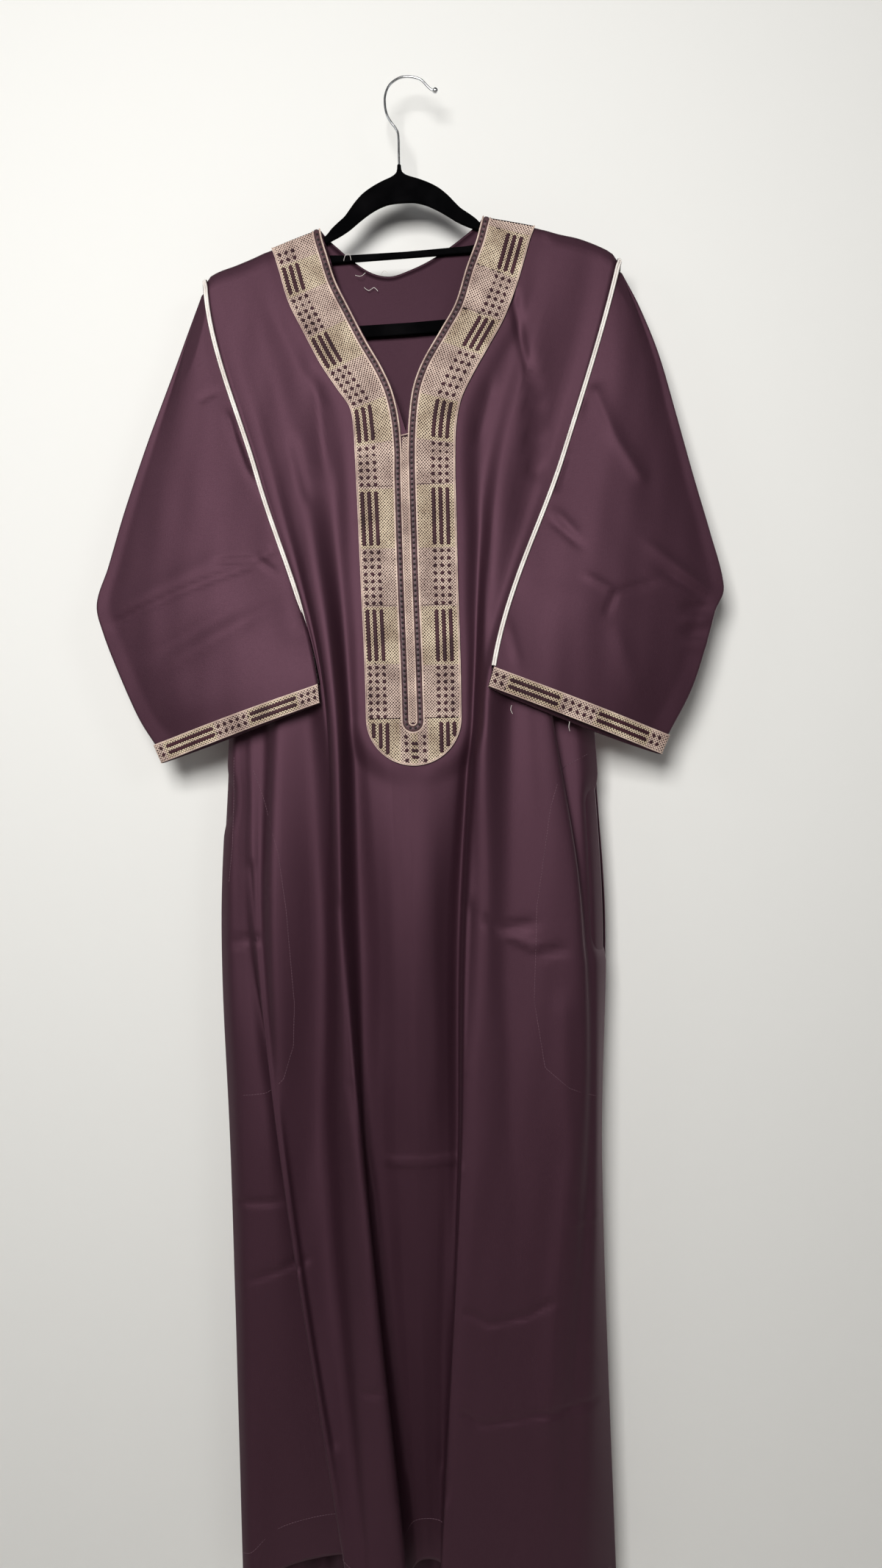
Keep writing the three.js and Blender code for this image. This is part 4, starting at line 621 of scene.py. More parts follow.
# ---------------------------------------------------------------- back panel
# The back is cut like the front, with a shallow round neck, and hangs in soft straight
# folds of its own. It is sewn to the front along both sides.
# name of the line, x and y at shoulder, chest, underarm, hip, knee and hem, hem height
BACK_LINES = [
    ("left side", (-222, -214, -209, -221, -216, -212), (7, 8, 7, 7, 7, 7), -1651),
    ("fold 1 crest", (-205, -196, -193, -202, -195, -190), (7, 14, 17, 20, 22, 24), -1650),
    ("fold 1 hollow", (-178, -170, -166, -165, -161, -158), (7, 9, 11, 13, 14, 16), -1648),
    ("fold 2 crest", (-150, -140, -133, -128, -128, -128), (7, 16, 21, 26, 31, 36), -1652),
    ("fold 2 foot", (-122, -108, -105, -104, -104, -104), (7, 10, 13, 15, 16, 18), -1648),
    ("neck left", (-96, -72, -66, -62, -66, -70), (7, 10, 14, 18, 21, 24), -1648),
    ("back hollow", (-50, -40, -37, -34, -32, -30), (7, 9, 12, 14, 15, 17), -1650),
    ("centre", (-8, -8, -8, -8, -6, -4), (7, 11, 17, 22, 27, 32), -1655),
    ("right hollow", (34, 26, 24, 22, 24, 26), (7, 9, 12, 14, 15, 17), -1654),
    ("neck right", (79, 62, 56, 52, 54, 56), (7, 13, 19, 24, 29, 34), -1660),
    ("fold 3 foot", (108, 96, 89, 84, 84, 84), (7, 9, 12, 14, 15, 17), -1660),
    ("fold 3 crest", (140, 130, 122, 118, 118, 118), (7, 15, 20, 24, 28, 33), -1664),
    ("fold 4 hollow", (175, 165, 156, 152, 149, 148), (7, 9, 11, 13, 14, 16), -1666),
    ("fold 4 crest", (206, 196, 176, 182, 177, 180), (7, 13, 16, 19, 21, 23), -1672),
    ("right side", (226, 213, 191, 198, 188.5, 195), (7, 8, 7, 7, 7, 7), -1675),
]
# x, z of the back neckline
BACK_NECK = [(-96, -165), (-82, -178), (-62, -196), (-42, -209), (-22, -213), (-2, -207),
             (22, -196), (48, -179), (79, -155)]
BACK_CHEST, BACK_UNDERARM = -440, -705


def back_lines(level):
    """Every line's point at one level, from 0 at the shoulder to 5 at the hem."""
    row = []
    for _, xs, ys, hem in BACK_LINES:
        heights = [float(ridge_z(xs[0])), BACK_CHEST, BACK_UNDERARM, HIP, KNEE, hem]
        z = np.interp(level, range(6), heights)
        row.append((smooth_table(heights, xs, z), smooth_table(heights, ys, z), z))
    return np.array(row, float)


def back_points(c, level):
    """Points of the back's outer face at line numbers c, at one level."""
    c = np.asarray(c, float)
    points = across_lines(back_lines(level), c)
    if level < 1:
        top = across_lines(back_lines(0), c)
        in_neck = (top[:, 0] > BACK_NECK[0][0]) & (top[:, 0] < BACK_NECK[-1][0])
        edge = np.where(in_neck, smooth_table(*zip(*BACK_NECK), top[:, 0]), ridge_z(top[:, 0]))
        points[:, 2] += (edge - top[:, 2]) * (1 - level) ** 1.5
    points[:, 1] = np.minimum(points[:, 1], roll_over(ridge_z(points[:, 0]) - points[:, 2]))
    return points


back_columns = spread([8] * 5 + [10] * 4 + [8] * 5)
back_levels = np.concatenate([[0, 0.006, 0.014, 0.028, 0.05], np.linspace(0.08, 1, 34),
                              np.linspace(1, 2, 24)[1:], np.linspace(2, 4, 40)[1:],
                              np.linspace(4, 5, 40)[1:]])
back_cloth = crumpled(np.array([back_points(back_columns, level) for level in back_levels]), 0.6)
back = thicken(grid_mesh("thobe_back", back_cloth, plum_cloth, facing=-1), CLOTH_THICK)
# The back's inner face takes the wrong side's darker colour: painted shade inside the garment.
back.data.materials.append(plum_wrong_side_painted_shade)
back.modifiers["cloth thickness"].material_offset = 1
hang(back, "cloth", "back_panel")

# ---------------------------------------------------------------- back neck facing
# A shaped facing of the same cloth is sewn round the inside of the back neckline and caught
# down along its lower edge with a line of pale overlocking.
# x, z along the foot of the facing
FACING_FOOT = [(-110, -265), (-60, -282), (-8, -281), (50, -275), (100, -255)]
FACING_IN = 2.4
facing_columns = np.linspace(5.05, 8.95, 60)
facing_top = back_points(facing_columns, 0)
facing_share = ((facing_top[:, 2] - smooth_table(*zip(*FACING_FOOT), facing_top[:, 0]))
                / (facing_top[:, 2] - BACK_CHEST))


def facing_row(share):
    """One row of the facing, from the neckline (0) to its foot (1)."""
    row = [back_points([c], 0.012 + (foot - 0.012) * share)[0]
           for c, foot in zip(facing_columns, facing_share)]
    return np.array(row) - np.array([0, FACING_IN, 0])


facing_cloth = np.array([facing_row(share) for share in np.linspace(0, 1, 14)])
# The facing takes the wrong side's darker colour: painted shade inside the neck.
facing = thicken(grid_mesh("back_neck_facing_cloth", facing_cloth, plum_wrong_side_painted_shade), 0.8)
hang(facing, "cloth", "back_neck_facing")

# ---------------------------------------------------------------- pocket bags
# A pocket bag of the same cloth hangs inside each side opening, sewn flat to the front.
# from and to which line of the front, and from and to which level
POCKETS = {"left": (0.4, 5.1, 2.2, 3.65), "right": (23, 26.6, 2.2, 3.65)}
for side_name, (first, last, top, foot) in POCKETS.items():
    bag_levels = np.linspace(top, foot, 40)
    bag_columns = np.linspace(first, last, 60)
    bag_cloth = front_sheet(bag_columns, bag_levels) + np.array([0, CLOTH_THICK + 2.6, 0])
    bag = thicken(grid_mesh(f"pocket_{side_name}_bag", bag_cloth, plum_cloth), 0.8)
    hang(bag, "cloth", f"pocket_{side_name}")

# ---------------------------------------------------------------- sleeves
# Wide flat sleeves fall from the hanger's tips. Each is a front and a back layer joined
# along the outer edge; the front one is sewn to the armhole under the white braid, and
# both end in the embroidered cuff.
# down the armhole (0 to 1); outer edge x, z, y; front y at a third and two thirds of the
# width; back y at its inner end and the same two places; back_hangs is how much lower the
# back of the cuff hangs than its front
LEFT_SLEEVE = dict(line=LEFT_ARMHOLE, side=-1, lift=9, back_hangs=1.5, cuff=(1.5, 8, -19.5), sections=[
    (0.02, -228, -234, 0, -5, -3, 7, 6, 4),
    (0.12, -246, -280, 0, -9, -7, 7.5, 7.5, 6),
    (0.25, -268, -337, -1, -12, -9, 8, 7.8, 6.5),
    (0.4, -293, -402, -2, -16, -12, 8, 7.8, 5.5),
    (0.55, -316, -467, -3, -22, -16, 8, 7.4, 4),
    (0.68, -334.5, -527, -4, -29, -20, 7.8, 6, 2),
    (0.77, -347, -567, -6, -33, -23, 6, 5, 0),
    (0.84, -340, -600, -7, -36, -25, -6, -4, -5),
    (0.91, -322, -648, -8, -38, -27, -26, -18, -9),
    (0.96, -303, -692, -9, -39, -29, -32, -24, -12),
    (1, -286, -720, -10, -39, -28, -34, -28, -16),
])
RIGHT_SLEEVE = dict(line=RIGHT_ARMHOLE, side=1, lift=9, back_hangs=4, cuff=(-6, -9, -20), sections=[
    (0.02, 230.5, -219, 0, -5, -3, 7, 6, 4),
    (0.12, 249, -256, 0, -8, -6, 7.5, 7, 5),
    (0.25, 269, -310, -1, -12, -9, 8, 7.6, 6),
    (0.4, 286, -375, -2, -17, -12, 8, 7.6, 5),
    (0.55, 303, -442, -3, -24, -17, 8, 7.4, 3),
    (0.68, 319, -503, -5, -32, -22, 8, 6, 0),
    (0.78, 332, -562, -7, -38, -26, 5, 3, -4),
    (0.84, 322, -588, -8, -42, -28, -14, -10, -9),
    (0.91, 311, -624, -10, -45, -31, -34, -24, -14),
    (0.96, 293, -674, -12, -48, -34, -41, -31, -18),
    (1, 267, -721, -14, -50, -36, -49.5, -37.5, -23),
])
EDGE_ROLL = 2.6
BACK_LEAVES = 0.77
ARMHOLE_RUN = np.linspace(0, 1, 241)
for sleeve in (LEFT_SLEEVE, RIGHT_SLEEVE):
    sleeve["armhole"] = front_sheet([sleeve["line"]], 2 * ARMHOLE_RUN - 1e-9)[:, 0]


def edge_roll(d):
    """Half the depth of a sleeve at a distance in from its rolled outer edge."""
    return 0.2 + (EDGE_ROLL + 0.1) * np.sqrt(1 - (1 - np.clip(d / EDGE_ROLL, 0, 1)) ** 2)


def sleeve_points(sleeve, down, s, cuff=0.0):
    """Front and back points of a sleeve, at a place down it and shares s of its width."""
    s = np.asarray(s, float)
    table = list(zip(*sleeve["sections"]))
    at = [float(smooth_table(table[0], column, down)) for column in table[1:]]
    out_x, out_z, edge, near, far, back_in, back_near, back_far = at
    braid = [np.interp(down, ARMHOLE_RUN, column) for column in sleeve["armhole"].T]
    in_x = braid[0] + sleeve["side"] * (0.3 + 1.7 * ease(0.85, 1, down))
    in_y = braid[1] - sleeve["lift"] * ease(0.82, 1, down)
    shares = (0, 0.35, 0.7, 1)
    front_y = smooth_table(shares, (in_y, near, far, edge), s)
    back_y = smooth_table(shares, (back_in, back_near, back_far, edge), s)
    d = (1 - s) * math.hypot(out_x - in_x, out_z - braid[2])
    most = edge_roll(d) + 0.3 * np.maximum(d - EDGE_ROLL, 0)
    half = np.maximum(np.minimum((back_y - front_y) / 2, most), np.minimum(edge_roll(d), 2.7))
    middle = (front_y + back_y) / 2
    shift_in, shift_out, drop = sleeve["cuff"]
    x = in_x + (out_x - in_x) * s + cuff * (shift_in + (shift_out - shift_in) * s)
    z = braid[2] + (out_z - braid[2]) * s + cuff * drop
    lower = z - sleeve["back_hangs"] * ease(0.85, 1, down) * np.sin(math.pi * np.clip(s, 0, 1)) ** 0.5
    return np.stack([x, middle - half, z], -1), np.stack([x, middle + half, lower], -1)


def back_side_x(side, z):
    """x of the back's own side seam at a height."""
    _, xs, _, hem = BACK_LINES[0 if side < 0 else -1]
    return smooth_table([float(ridge_z(xs[0])), BACK_CHEST, BACK_UNDERARM, HIP, KNEE, hem], xs, z)


def back_start(sleeve, down):
    """Share of the width at which the sleeve's back layer begins."""
    if down >= 1:
        return 0.0
    ends = sleeve_points(sleeve, min(down, BACK_LEAVES), [0, 1])[0]
    z = ends[0, 2] + (ends[1, 2] - ends[0, 2]) * 0.35
    x = back_side_x(sleeve["side"], z) + sleeve["side"] * 0.9
    share = np.clip((x - ends[0, 0]) / (ends[1, 0] - ends[0, 0]), 0.02, 0.9)
    return float(share * (1 - ease(BACK_LEAVES, 1, down)))


def sleeve_layer(sleeve, layer, columns=56):
    """Grid of one layer of a sleeve, from its top to the foot of the cuff."""
    stops = [(down, 0.0) for down in np.linspace(0.02, 1, 112)]
    stops += [(1.0, cuff) for cuff in np.linspace(0, 1, 6)[1:]]
    grid = []
    for down, cuff in stops:
        ends = sleeve_points(sleeve, down, [0, 1])[0]
        width = math.hypot(ends[1, 0] - ends[0, 0], ends[1, 2] - ends[0, 2])
        start = back_start(sleeve, down) if layer else 0.0
        turn = min(EDGE_ROLL / width, 0.4)
        shares = np.concatenate([start + (1 - turn - start) * np.linspace(0, 1, columns),
                                 1 - turn * np.array([0.6, 0.35, 0.12, 0])])
        grid.append(sleeve_points(sleeve, down, shares, cuff)[layer])
    return np.array(grid)


LEFT_SLEEVE_CREASES = [
    *crease([(-330, -590), (-255, -560), (-170, -530)], 3.5, -1.8),
    *crease([(-325, -575), (-210, -525)], 11, 1.6, 0.25),
    *fan(-170, -525, [(30, 20), (-35, 25), (185, 40)], 2.5, -2),
    *crease([(-200, -365), (-180, -425), (-160, -455)], 4.5, 2),
    *crease([(-190, -385), (-170, -440)], 3.5, -2, 0.25),
    *crease([(-230, -350), (-210, -340)], 3, -1.2, 0.3),
    *crease([(-285, -625), (-195, -580)], 10, -2, 0.3),
    *crease([(-270, -640), (-150, -575)], 9, 2, 0.3),
    *crease([(-150, -450), (-140, -530), (-125, -600)], 9, 2),
]
RIGHT_SLEEVE_CREASES = [
    *crease([(195, -345), (215, -400), (245, -450)], 8, 2.2),
    *crease([(185, -355), (165, -420), (150, -455)], 4, -2),
    *crease([(180, -370), (160, -440)], 3.5, 1.8, 0.25),
    *crease([(145, -490), (175, -520)], 3, -2.2, 0.3),
    *crease([(150, -480), (170, -505)], 4, 1.8, 0.3),
    *fan(210, -570, [(15, 50), (150, 35), (245, 25)], 3, -2),
    *crease([(250, -520), (315, -570)], 6, 2.2, 0.3),
    *crease([(260, -545), (315, -575)], 5, -2.2, 0.3),
    # the gathers at the outer elbow
    *[((285, -585 - 13 * n), (315, -585 - 13 * n), 3, -2.2 * (-1) ** n, 0.3) for n in range(4)],
    *crease([(210, -610), (230, -680)], 12, 2, 0.3),
    *crease([(95, -600), (105, -645)], 5, 1.4, 0.3),
]
for side_name, sleeve, creases in (("left", LEFT_SLEEVE, LEFT_SLEEVE_CREASES),
                                   ("right", RIGHT_SLEEVE, RIGHT_SLEEVE_CREASES)):
    for layer, layer_name in enumerate(("front", "back")):
        grid = sleeve_layer(sleeve, layer)
        if layer == 0:
            grid = creased(grid, creases)
        grid = crumpled(grid, 0.3)
        turned = sleeve["side"] * (1 if layer == 0 else -1)
        piece = thicken(grid_mesh(f"sleeve_{side_name}_{layer_name}_cloth", grid, plum_cloth,
                                  facing=turned), CLOTH_THICK)
        hang(piece, "cloth", f"sleeve_{side_name}_{layer_name}")

# ---------------------------------------------------------------- embroidered bib
# The open neck and its slit are bordered by a stiff band of machine embroidery: a cream and
# pink lattice over a plum ground, with blocks of three raised plum bars and blocks of plum
# dots, and a fine double line along its outer edge.
# edge x, z and outer x, z of the band, down each side from the shoulder
BIB_LEFT = [
    (-96.5, -166, -150, -185.5), (-94.5, -177, -147, -194.5), (-89.5, -195, -142, -212),
    (-80.5, -225, -132.5, -246), (-66, -256, -117, -279), (-49, -291, -99, -315),
    (-33, -320, -82, -342), (-22, -346, -68, -364), (-15.5, -376, -64.5, -389),
    (-13, -410, -63.5, -415), (-13.2, -440, -62.7, -440), (-12.9, -480, -61.6, -480),
    (-12, -560, -59.6, -560), (-10.4, -640, -57.4, -640), (-9.8, -698, -57, -698),
]
BIB_RIGHT = [
    (79, -156.5, 136, -167.5), (76, -167, 130, -183), (71.5, -183, 124, -203),
    (60.5, -212, 114.5, -233), (47.5, -252, 100, -269), (31, -281, 82.5, -300),
    (10.5, -316, 64, -332), (0, -344, 52, -357), (-4.8, -376, 46, -386),
    (-6.9, -410, 44.5, -415), (-7.2, -440, 44, -440), (-6.9, -480, 44.2, -480),
    (-6, -560, 44.4, -560), (-4.4, -640, 45.3, -640), (-3.8, -698, 45, -698),
]
EDGE_TURN = (-6.8, -702, 3.0)
GROUND_LIFT = 1.7
CORD_WIDTH, BRAID_WIDTH, SATIN_WIDTH = 2.0, 5.8, 1.9
FIELD_FROM = CORD_WIDTH + BRAID_WIDTH + SATIN_WIDTH
HOLE_ACROSS, HOLE_DOWN, THREAD_WIDTH = 1.55, 1.65, 0.94
BAR_WIDTH, DOT_ACROSS = 4.5, 4.1
COLUMN_APART = 7.45
# lengths along the band are measured on the line this far in from its outer edge
MEASURED_AT = 13
# how far the lattice runs in under the bars and dots
UNDER_MARKS = 0.85
# how far in from the outer edge the first column of bars and dots stands
LEFT_COLUMN, RIGHT_COLUMN = 5.9, 9.3
# blocks up each side from the foot of the slit: kind, from, to; dots give their rows, of
# which the last number is the row (counted from below) that is worked small
LEFT_BLOCKS = [
    ("dots", 2.0, 54.2, 8, None), ("bars", 60.9, 116.7), ("line", 120.7),
    ("dots", 123.0, 177.4, 8, None), ("bars", 184.3, 243.4), ("line", 248.5),
    ("dots", 250.1, 289.2, 6, 4), ("bars", 296.3, 334.7), ("dots", 341.5, 382.0, 6, None),
    ("bars", 389.0, 427.0), ("dots", 433.6, 472.0, 6, 4), ("bars", 479.0, 511.0),
    ("dots", 517.0, 525.0, 2, None),
]
RIGHT_BLOCKS = [
    ("dots", 0.4, 52.8, 8, None), ("bars", 59.0, 115.6), ("line", 120.0),
    ("dots", 122.2, 178.1, 8, None), ("bars", 184.0, 246.3), ("line", 250.3),
    ("dots", 252.7, 292.2, 6, 4), ("bars", 298.5, 339.5), ("dots", 347.0, 394.0, 6, None),
    ("bars", 401.5, 440.5), ("line", 444.0), ("dots", 447.0, 487.0, 6, 4),
    ("bars", 495.0, 538.0),
]
rng = np.random.default_rng(7)


def unit(vectors):
    """The same directions, each of length 1."""
    return vectors / np.linalg.norm(vectors, axis=-1, keepdims=True)


def with_sides(path, out):
    """A path with its sideways and outward directions."""
    return path, unit(np.cross(unit(np.gradient(path, axis=0)), out)), out


def bib_surface(x, z, lift):
    """Points that stand a little off the bib, square to it."""
    step = 0.4
    slope_x = (bib_y(x + step, z) - bib_y(x - step, z)) / (2 * step)
    slope_z = (bib_y(x, z + step) - bib_y(x, z - step)) / (2 * step)
    normal = unit(np.stack([slope_x, -np.ones_like(slope_x), slope_z], -1))
    return np.stack([x, bib_y(x, z), z], -1) + normal * np.asarray(lift)[..., None]


def arm_of_band(stations):
    """Dense run of the band's two edges, with its length up from the foot of the slit."""
    stations = np.array(stations[::-1], float)
    middle = (stations[:, :2] + stations[:, 2:]) / 2
    rough = length_so_far(middle)
    dense = np.linspace(0, rough[-1], 900)
    rows = np.stack([smooth_table(rough, stations[:, k], dense) for k in range(4)], -1)
    toward = rows[:, :2] - rows[:, 2:]
    width = np.linalg.norm(toward, axis=1)
    columns_line = rows[:, 2:] + toward / width[:, None] * MEASURED_AT
    run = length_so_far(columns_line)
    return dict(run=run, rows=rows, width=width)


LEFT_ARM, RIGHT_ARM = arm_of_band(BIB_LEFT), arm_of_band(BIB_RIGHT)


def on_arm(arm, up, inward):
    """x, z on one side of the band: so far up from the foot, and in from the outer edge."""
    up, inward = np.broadcast_arrays(np.asarray(up, float), np.asarray(inward, float))
    at = [np.interp(up, arm["run"], arm["rows"][:, k]) for k in range(4)]
    share = inward / np.interp(up, arm["run"], arm["width"])
    return at[2] + (at[0] - at[2]) * share, at[3] + (at[1] - at[3]) * share


class Stitching:
    """Gathers many small meshes of one thread into one piece."""

    def __init__(self):
        self.points, self.faces, self.count = [], [], 0

    def add(self, points, faces):
        """More points, and the four-sided faces between them."""
        self.points.append(points.reshape(-1, 3))
        self.faces.append(np.asarray(faces).reshape(-1, 4) + self.count)
        self.count += len(self.points[-1])

    def grid(self, points):
        """A sheet of points, rows by columns."""
        rows, columns = points.shape[:2]
        corner = (np.arange(rows - 1)[:, None] * columns + np.arange(columns - 1)[None, :]).ravel()
        self.add(points, np.stack([corner, corner + columns, corner + columns + 1, corner + 1], -1))

    def sew(self, name, thread, slot, *nodes):
        """Makes the piece from all that was gathered, and fixes it to the garment."""
        mesh = bpy.data.meshes.new(name)
        points = np.concatenate(self.points) * MM
        mesh.from_pydata(points.tolist(), [], np.concatenate(self.faces).tolist())
        mesh.polygons.foreach_set("use_smooth", [True] * len(mesh.polygons))
        mesh.materials.append(thread)
        return hang(put(name, mesh), slot, *nodes)


def threads_between(stitching, start, end, width, height, place):
    """Short ridged threads from each start to each end, both given in flat coordinates."""
    along = end - start
    length = np.maximum(np.linalg.norm(along, axis=1, keepdims=True), 1e-6)
    side = np.stack([-along[:, 1], along[:, 0]], -1) / length
    rows = []
    for share in (-0.04, 0.5, 1.04):
        centre = start + along * share
        crown = 1.0 if share == 0.5 else 0.8
        for t, lift in ((-0.5, 0.0), (-0.22, 0.8), (0.22, 0.8), (0.5, 0.0)):
            flat = centre + side * (width * t)[:, None]
            rows.append(place(flat[:, 0], flat[:, 1], height * lift * crown))
    points = np.stack(rows, 1)
    quads = [(r * 4 + k, r * 4 + 4 + k, r * 4 + 5 + k, r * 4 + 1 + k)
             for r in range(2) for k in range(3)]
    base = np.arange(len(start)) * 12
    stitching.add(points, (base[:, None, None] + np.array(quads)[None]).reshape(-1, 4))


def lattice(stitching, across, down, keep, place, wobble=0.14, lean=0.0):
    """Crossing threads on a grid of small holes, left out wherever keep says no."""
    i, j = np.meshgrid(np.arange(len(across)), np.arange(len(down)), indexing="ij")
    a, d = across[i], down[j]
    a = a + rng.normal(0, wobble, a.shape)
    d = d + rng.normal(0, wobble, d.shape)
    crossing = (i + j) % 2 == 1
    for turn in (1, -1):
        if turn > 0:
            start, end = (slice(None, -1), slice(None, -1)), (slice(1, None), slice(1, None))
        else:
            start, end = (slice(1, None), slice(None, -1)), (slice(None, -1), slice(1, None))
        both = crossing[start] & keep((a[start] + a[end]) / 2, (d[start] + d[end]) / 2)
        p = np.stack([a[start][both], d[start][both]], -1)
        q = np.stack([a[end][both], d[end][both]], -1)
        stout = THREAD_WIDTH * (1 + lean * turn) + rng.normal(0, 0.05, len(p))
        height = np.full(len(p), 0.75 if turn > 0 else 0.6)
        threads_between(stitching, p, q, stout, height, place)


def rib(stitching, path, across, out, width, height, twist=None, profile=7, fullness=2):
    """A raised line of stitching along a path; twist adds its plies or its stitches."""
    t = np.linspace(-1, 1, profile)
    width, height = np.broadcast_to(width, len(path)), np.broadcast_to(height, len(path))
    run = length_so_far(path)
    dome = np.sqrt(1 - np.abs(t) ** fullness)[None, :] * height[:, None]
    if twist is not None:
        dome = dome + twist(run[:, None], t[None, :] * width[:, None] / 2) * (dome > 0.02)
    points = (path[:, None] + across[:, None] * (t[None, :] * width[:, None] / 2)[..., None]
              + out[:, None] * dome[..., None])
    stitching.grid(points[:, ::-1])


def ply_twist(pitch, depth):
    """Twist of a cord, its plies running slantwise."""
    return lambda run, off: depth * (np.abs(np.sin(np.pi * (run + 0.9 * off) / pitch)) - 0.6)


def frame_along(flat, lift):
    """Path, sideways and outward directions on the bib for flat x, z points."""
    path = bib_surface(flat[:, 0], flat[:, 1], lift)
    return with_sides(path, bib_surface(flat[:, 0], flat[:, 1], lift + 1.0) - path)


def evenly(flat, step):
    """The same flat path with points so many millimetres apart."""
    length = np.sum(np.linalg.norm(np.diff(flat, axis=0), axis=1))
    return along_path(flat, np.linspace(0, 1, int(length / step) + 1))


def neck_line(off):
    """The whole line round neck and slit, so far out from the neck edge."""
    sides = []
    for arm in (LEFT_ARM, RIGHT_ARM):
        sides.append(np.stack(on_arm(arm, arm["run"], arm["width"] - off), -1))
    turn = np.linspace(math.pi, 2 * math.pi, 24)
    x, z, radius = EDGE_TURN
    foot = np.stack([x + (radius + off) * np.cos(turn), z + (radius + off) * np.sin(turn)], -1)
    return np.concatenate([sides[0][::-1], foot, sides[1]])


def outer_line(inward):
    """The whole outer line of the band, so far in from its edge."""
    sides = [np.stack(on_arm(arm, arm["run"], inward), -1) for arm in (LEFT_ARM, RIGHT_ARM)]
    turn = np.linspace(math.pi, 2 * math.pi, 60)[1:-1]
    x, z, radius = BIB_FOOT
    foot = np.stack([x + (radius - inward) * np.cos(turn), z + (radius - inward) * np.sin(turn)], -1)
    return np.concatenate([sides[0][::-1], foot, sides[1]])


def two_tones(nodes, links, shader, value, places, tones):
    """Colours a material from one tone to the other as a value rises between two places."""
    ramp = nodes.new("ShaderNodeValToRGB")
    for element, place, tone in zip(ramp.color_ramp.elements, places, tones):
        element.position = place
        element.color = (*tone, 1)
    links.new(value, ramp.inputs["Fac"])
    links.new(ramp.outputs["Color"], shader.inputs["Base Color"])


def thread_material(name, color, shade, roughness, gleam):
    """Embroidery thread: fine strands in random patches, with painted shade between the strands and a
    painted highlight where they stand up, and a low gleam.
    """
    thread, nodes, links, shader = start_material(name)
    place = nodes.new("ShaderNodeTexCoord")
    strands, patches = noise(nodes, 900), noise(nodes, 45)
    links.new(place.outputs["Object"], strands.inputs["Vector"])
    links.new(place.outputs["Object"], patches.inputs["Vector"])
    both = nodes.new("ShaderNodeMath")
    both.operation = "MULTIPLY_ADD"
    both.inputs[1].default_value = 0.6
    links.new(strands.outputs["Fac"], both.inputs[0])
    links.new(patches.outputs["Fac"], both.inputs[2])
    # The dark tone is painted shade and the light one a painted highlight; they follow the strands' bump and
    # random patches.
    two_tones(nodes, links, shader, both.outputs[0], (0.55, 1.0), (shade, color))
    relief(nodes, links, shader, strands.outputs["Fac"], 0.25, 0.0002)
    shader.inputs["Roughness"].default_value = roughness
    shader.inputs["Specular IOR Level"].default_value = gleam
    return thread


# The second colour of each thread is its painted shade.
cream_thread = thread_material("cream_thread", (0.8, 0.68, 0.51), (0.42, 0.31, 0.22), 0.55, 0.4)
pink_thread = thread_material("pink_thread", (0.78, 0.62, 0.53), (0.42, 0.3, 0.26), 0.5, 0.4)
plum_thread = thread_material("plum_thread", (0.06, 0.02, 0.028), (0.02, 0.007, 0.01), 0.6, 0.16)
band_ground = thread_material("band_ground", (0.03, 0.013, 0.015), (0.012, 0.006, 0.007), 0.8, 0.1)


def block_marks(arm, first_column, blocks):
    """Bars and dots of one side: bars as column, from, to; dots as place and half width."""
    bars, dots = [], []
    for kind, *values in blocks:
        columns = first_column + COLUMN_APART * np.arange(3)
        if kind == "bars":
            bars += [(column, *values) for column in columns]
        if kind == "dots":
            low, high, rows, small = values
            for row, up in enumerate(np.linspace(low, high, rows)):
                half = DOT_ACROSS / 2 * (0.72 if row == small else 1)
                dots += [(column, up, half) for column in columns]
    return np.array(bars), np.array(dots)


def clear_of(bars, dots, a, d, spare):
    """Where the lattice is worked: neither on a bar nor on a dot."""
    open_ground = np.ones(a.shape, bool)
    for column, low, high in bars:
        beside = np.abs(a - column) > BAR_WIDTH / 2 + spare
        open_ground &= beside | (d < low - spare) | (d > high + spare)
    for column, up, half in dots:
        open_ground &= np.hypot(a - column, d - up) > half + spare
    return open_ground


def near_bars(bars, d, spare):
    """Where a bar runs alongside, or ends less than this far off."""
    near = np.zeros(d.shape, bool)
    for _, low, high in bars:
        near |= (d > low - spare) & (d < high + spare)
    return near


def bar(stitching, low, high, place_of):
    """One raised bar with round ends, its satin stitches lying slantwise."""
    length = high - low
    up = low + length * np.linspace(0, 1, int(length / 0.7) + 2)
    end = np.minimum(up - low, high - up)
    narrow = np.sqrt(np.clip(1 - (1 - np.minimum(end / (BAR_WIDTH / 2), 1)) ** 2, 0.02, 1))
    path, across, out = frame_along(place_of(up), GROUND_LIFT)
    rib(stitching, path, across, out, BAR_WIDTH * narrow, 1.4 * narrow, ply_twist(1.9, 0.5), 9, 4)


def dots_worked(stitching, places, halves, place):
    """Small round domes of satin stitch."""
    turn = np.linspace(0, 2 * math.pi, 11)
    for (a, d), half in zip(places, halves):
        ring = np.array([1.0, 0.99, 0.86, 0.5, 0.02])
        height = np.array([0, 0.95, 1.3, 1.4, 1.42])
        aa = a + half * ring[:, None] * np.cos(turn)[None]
        dd = d + half * ring[:, None] * np.sin(turn)[None]
        stitching.grid(place(aa, dd, np.broadcast_to(height[:, None], aa.shape)))


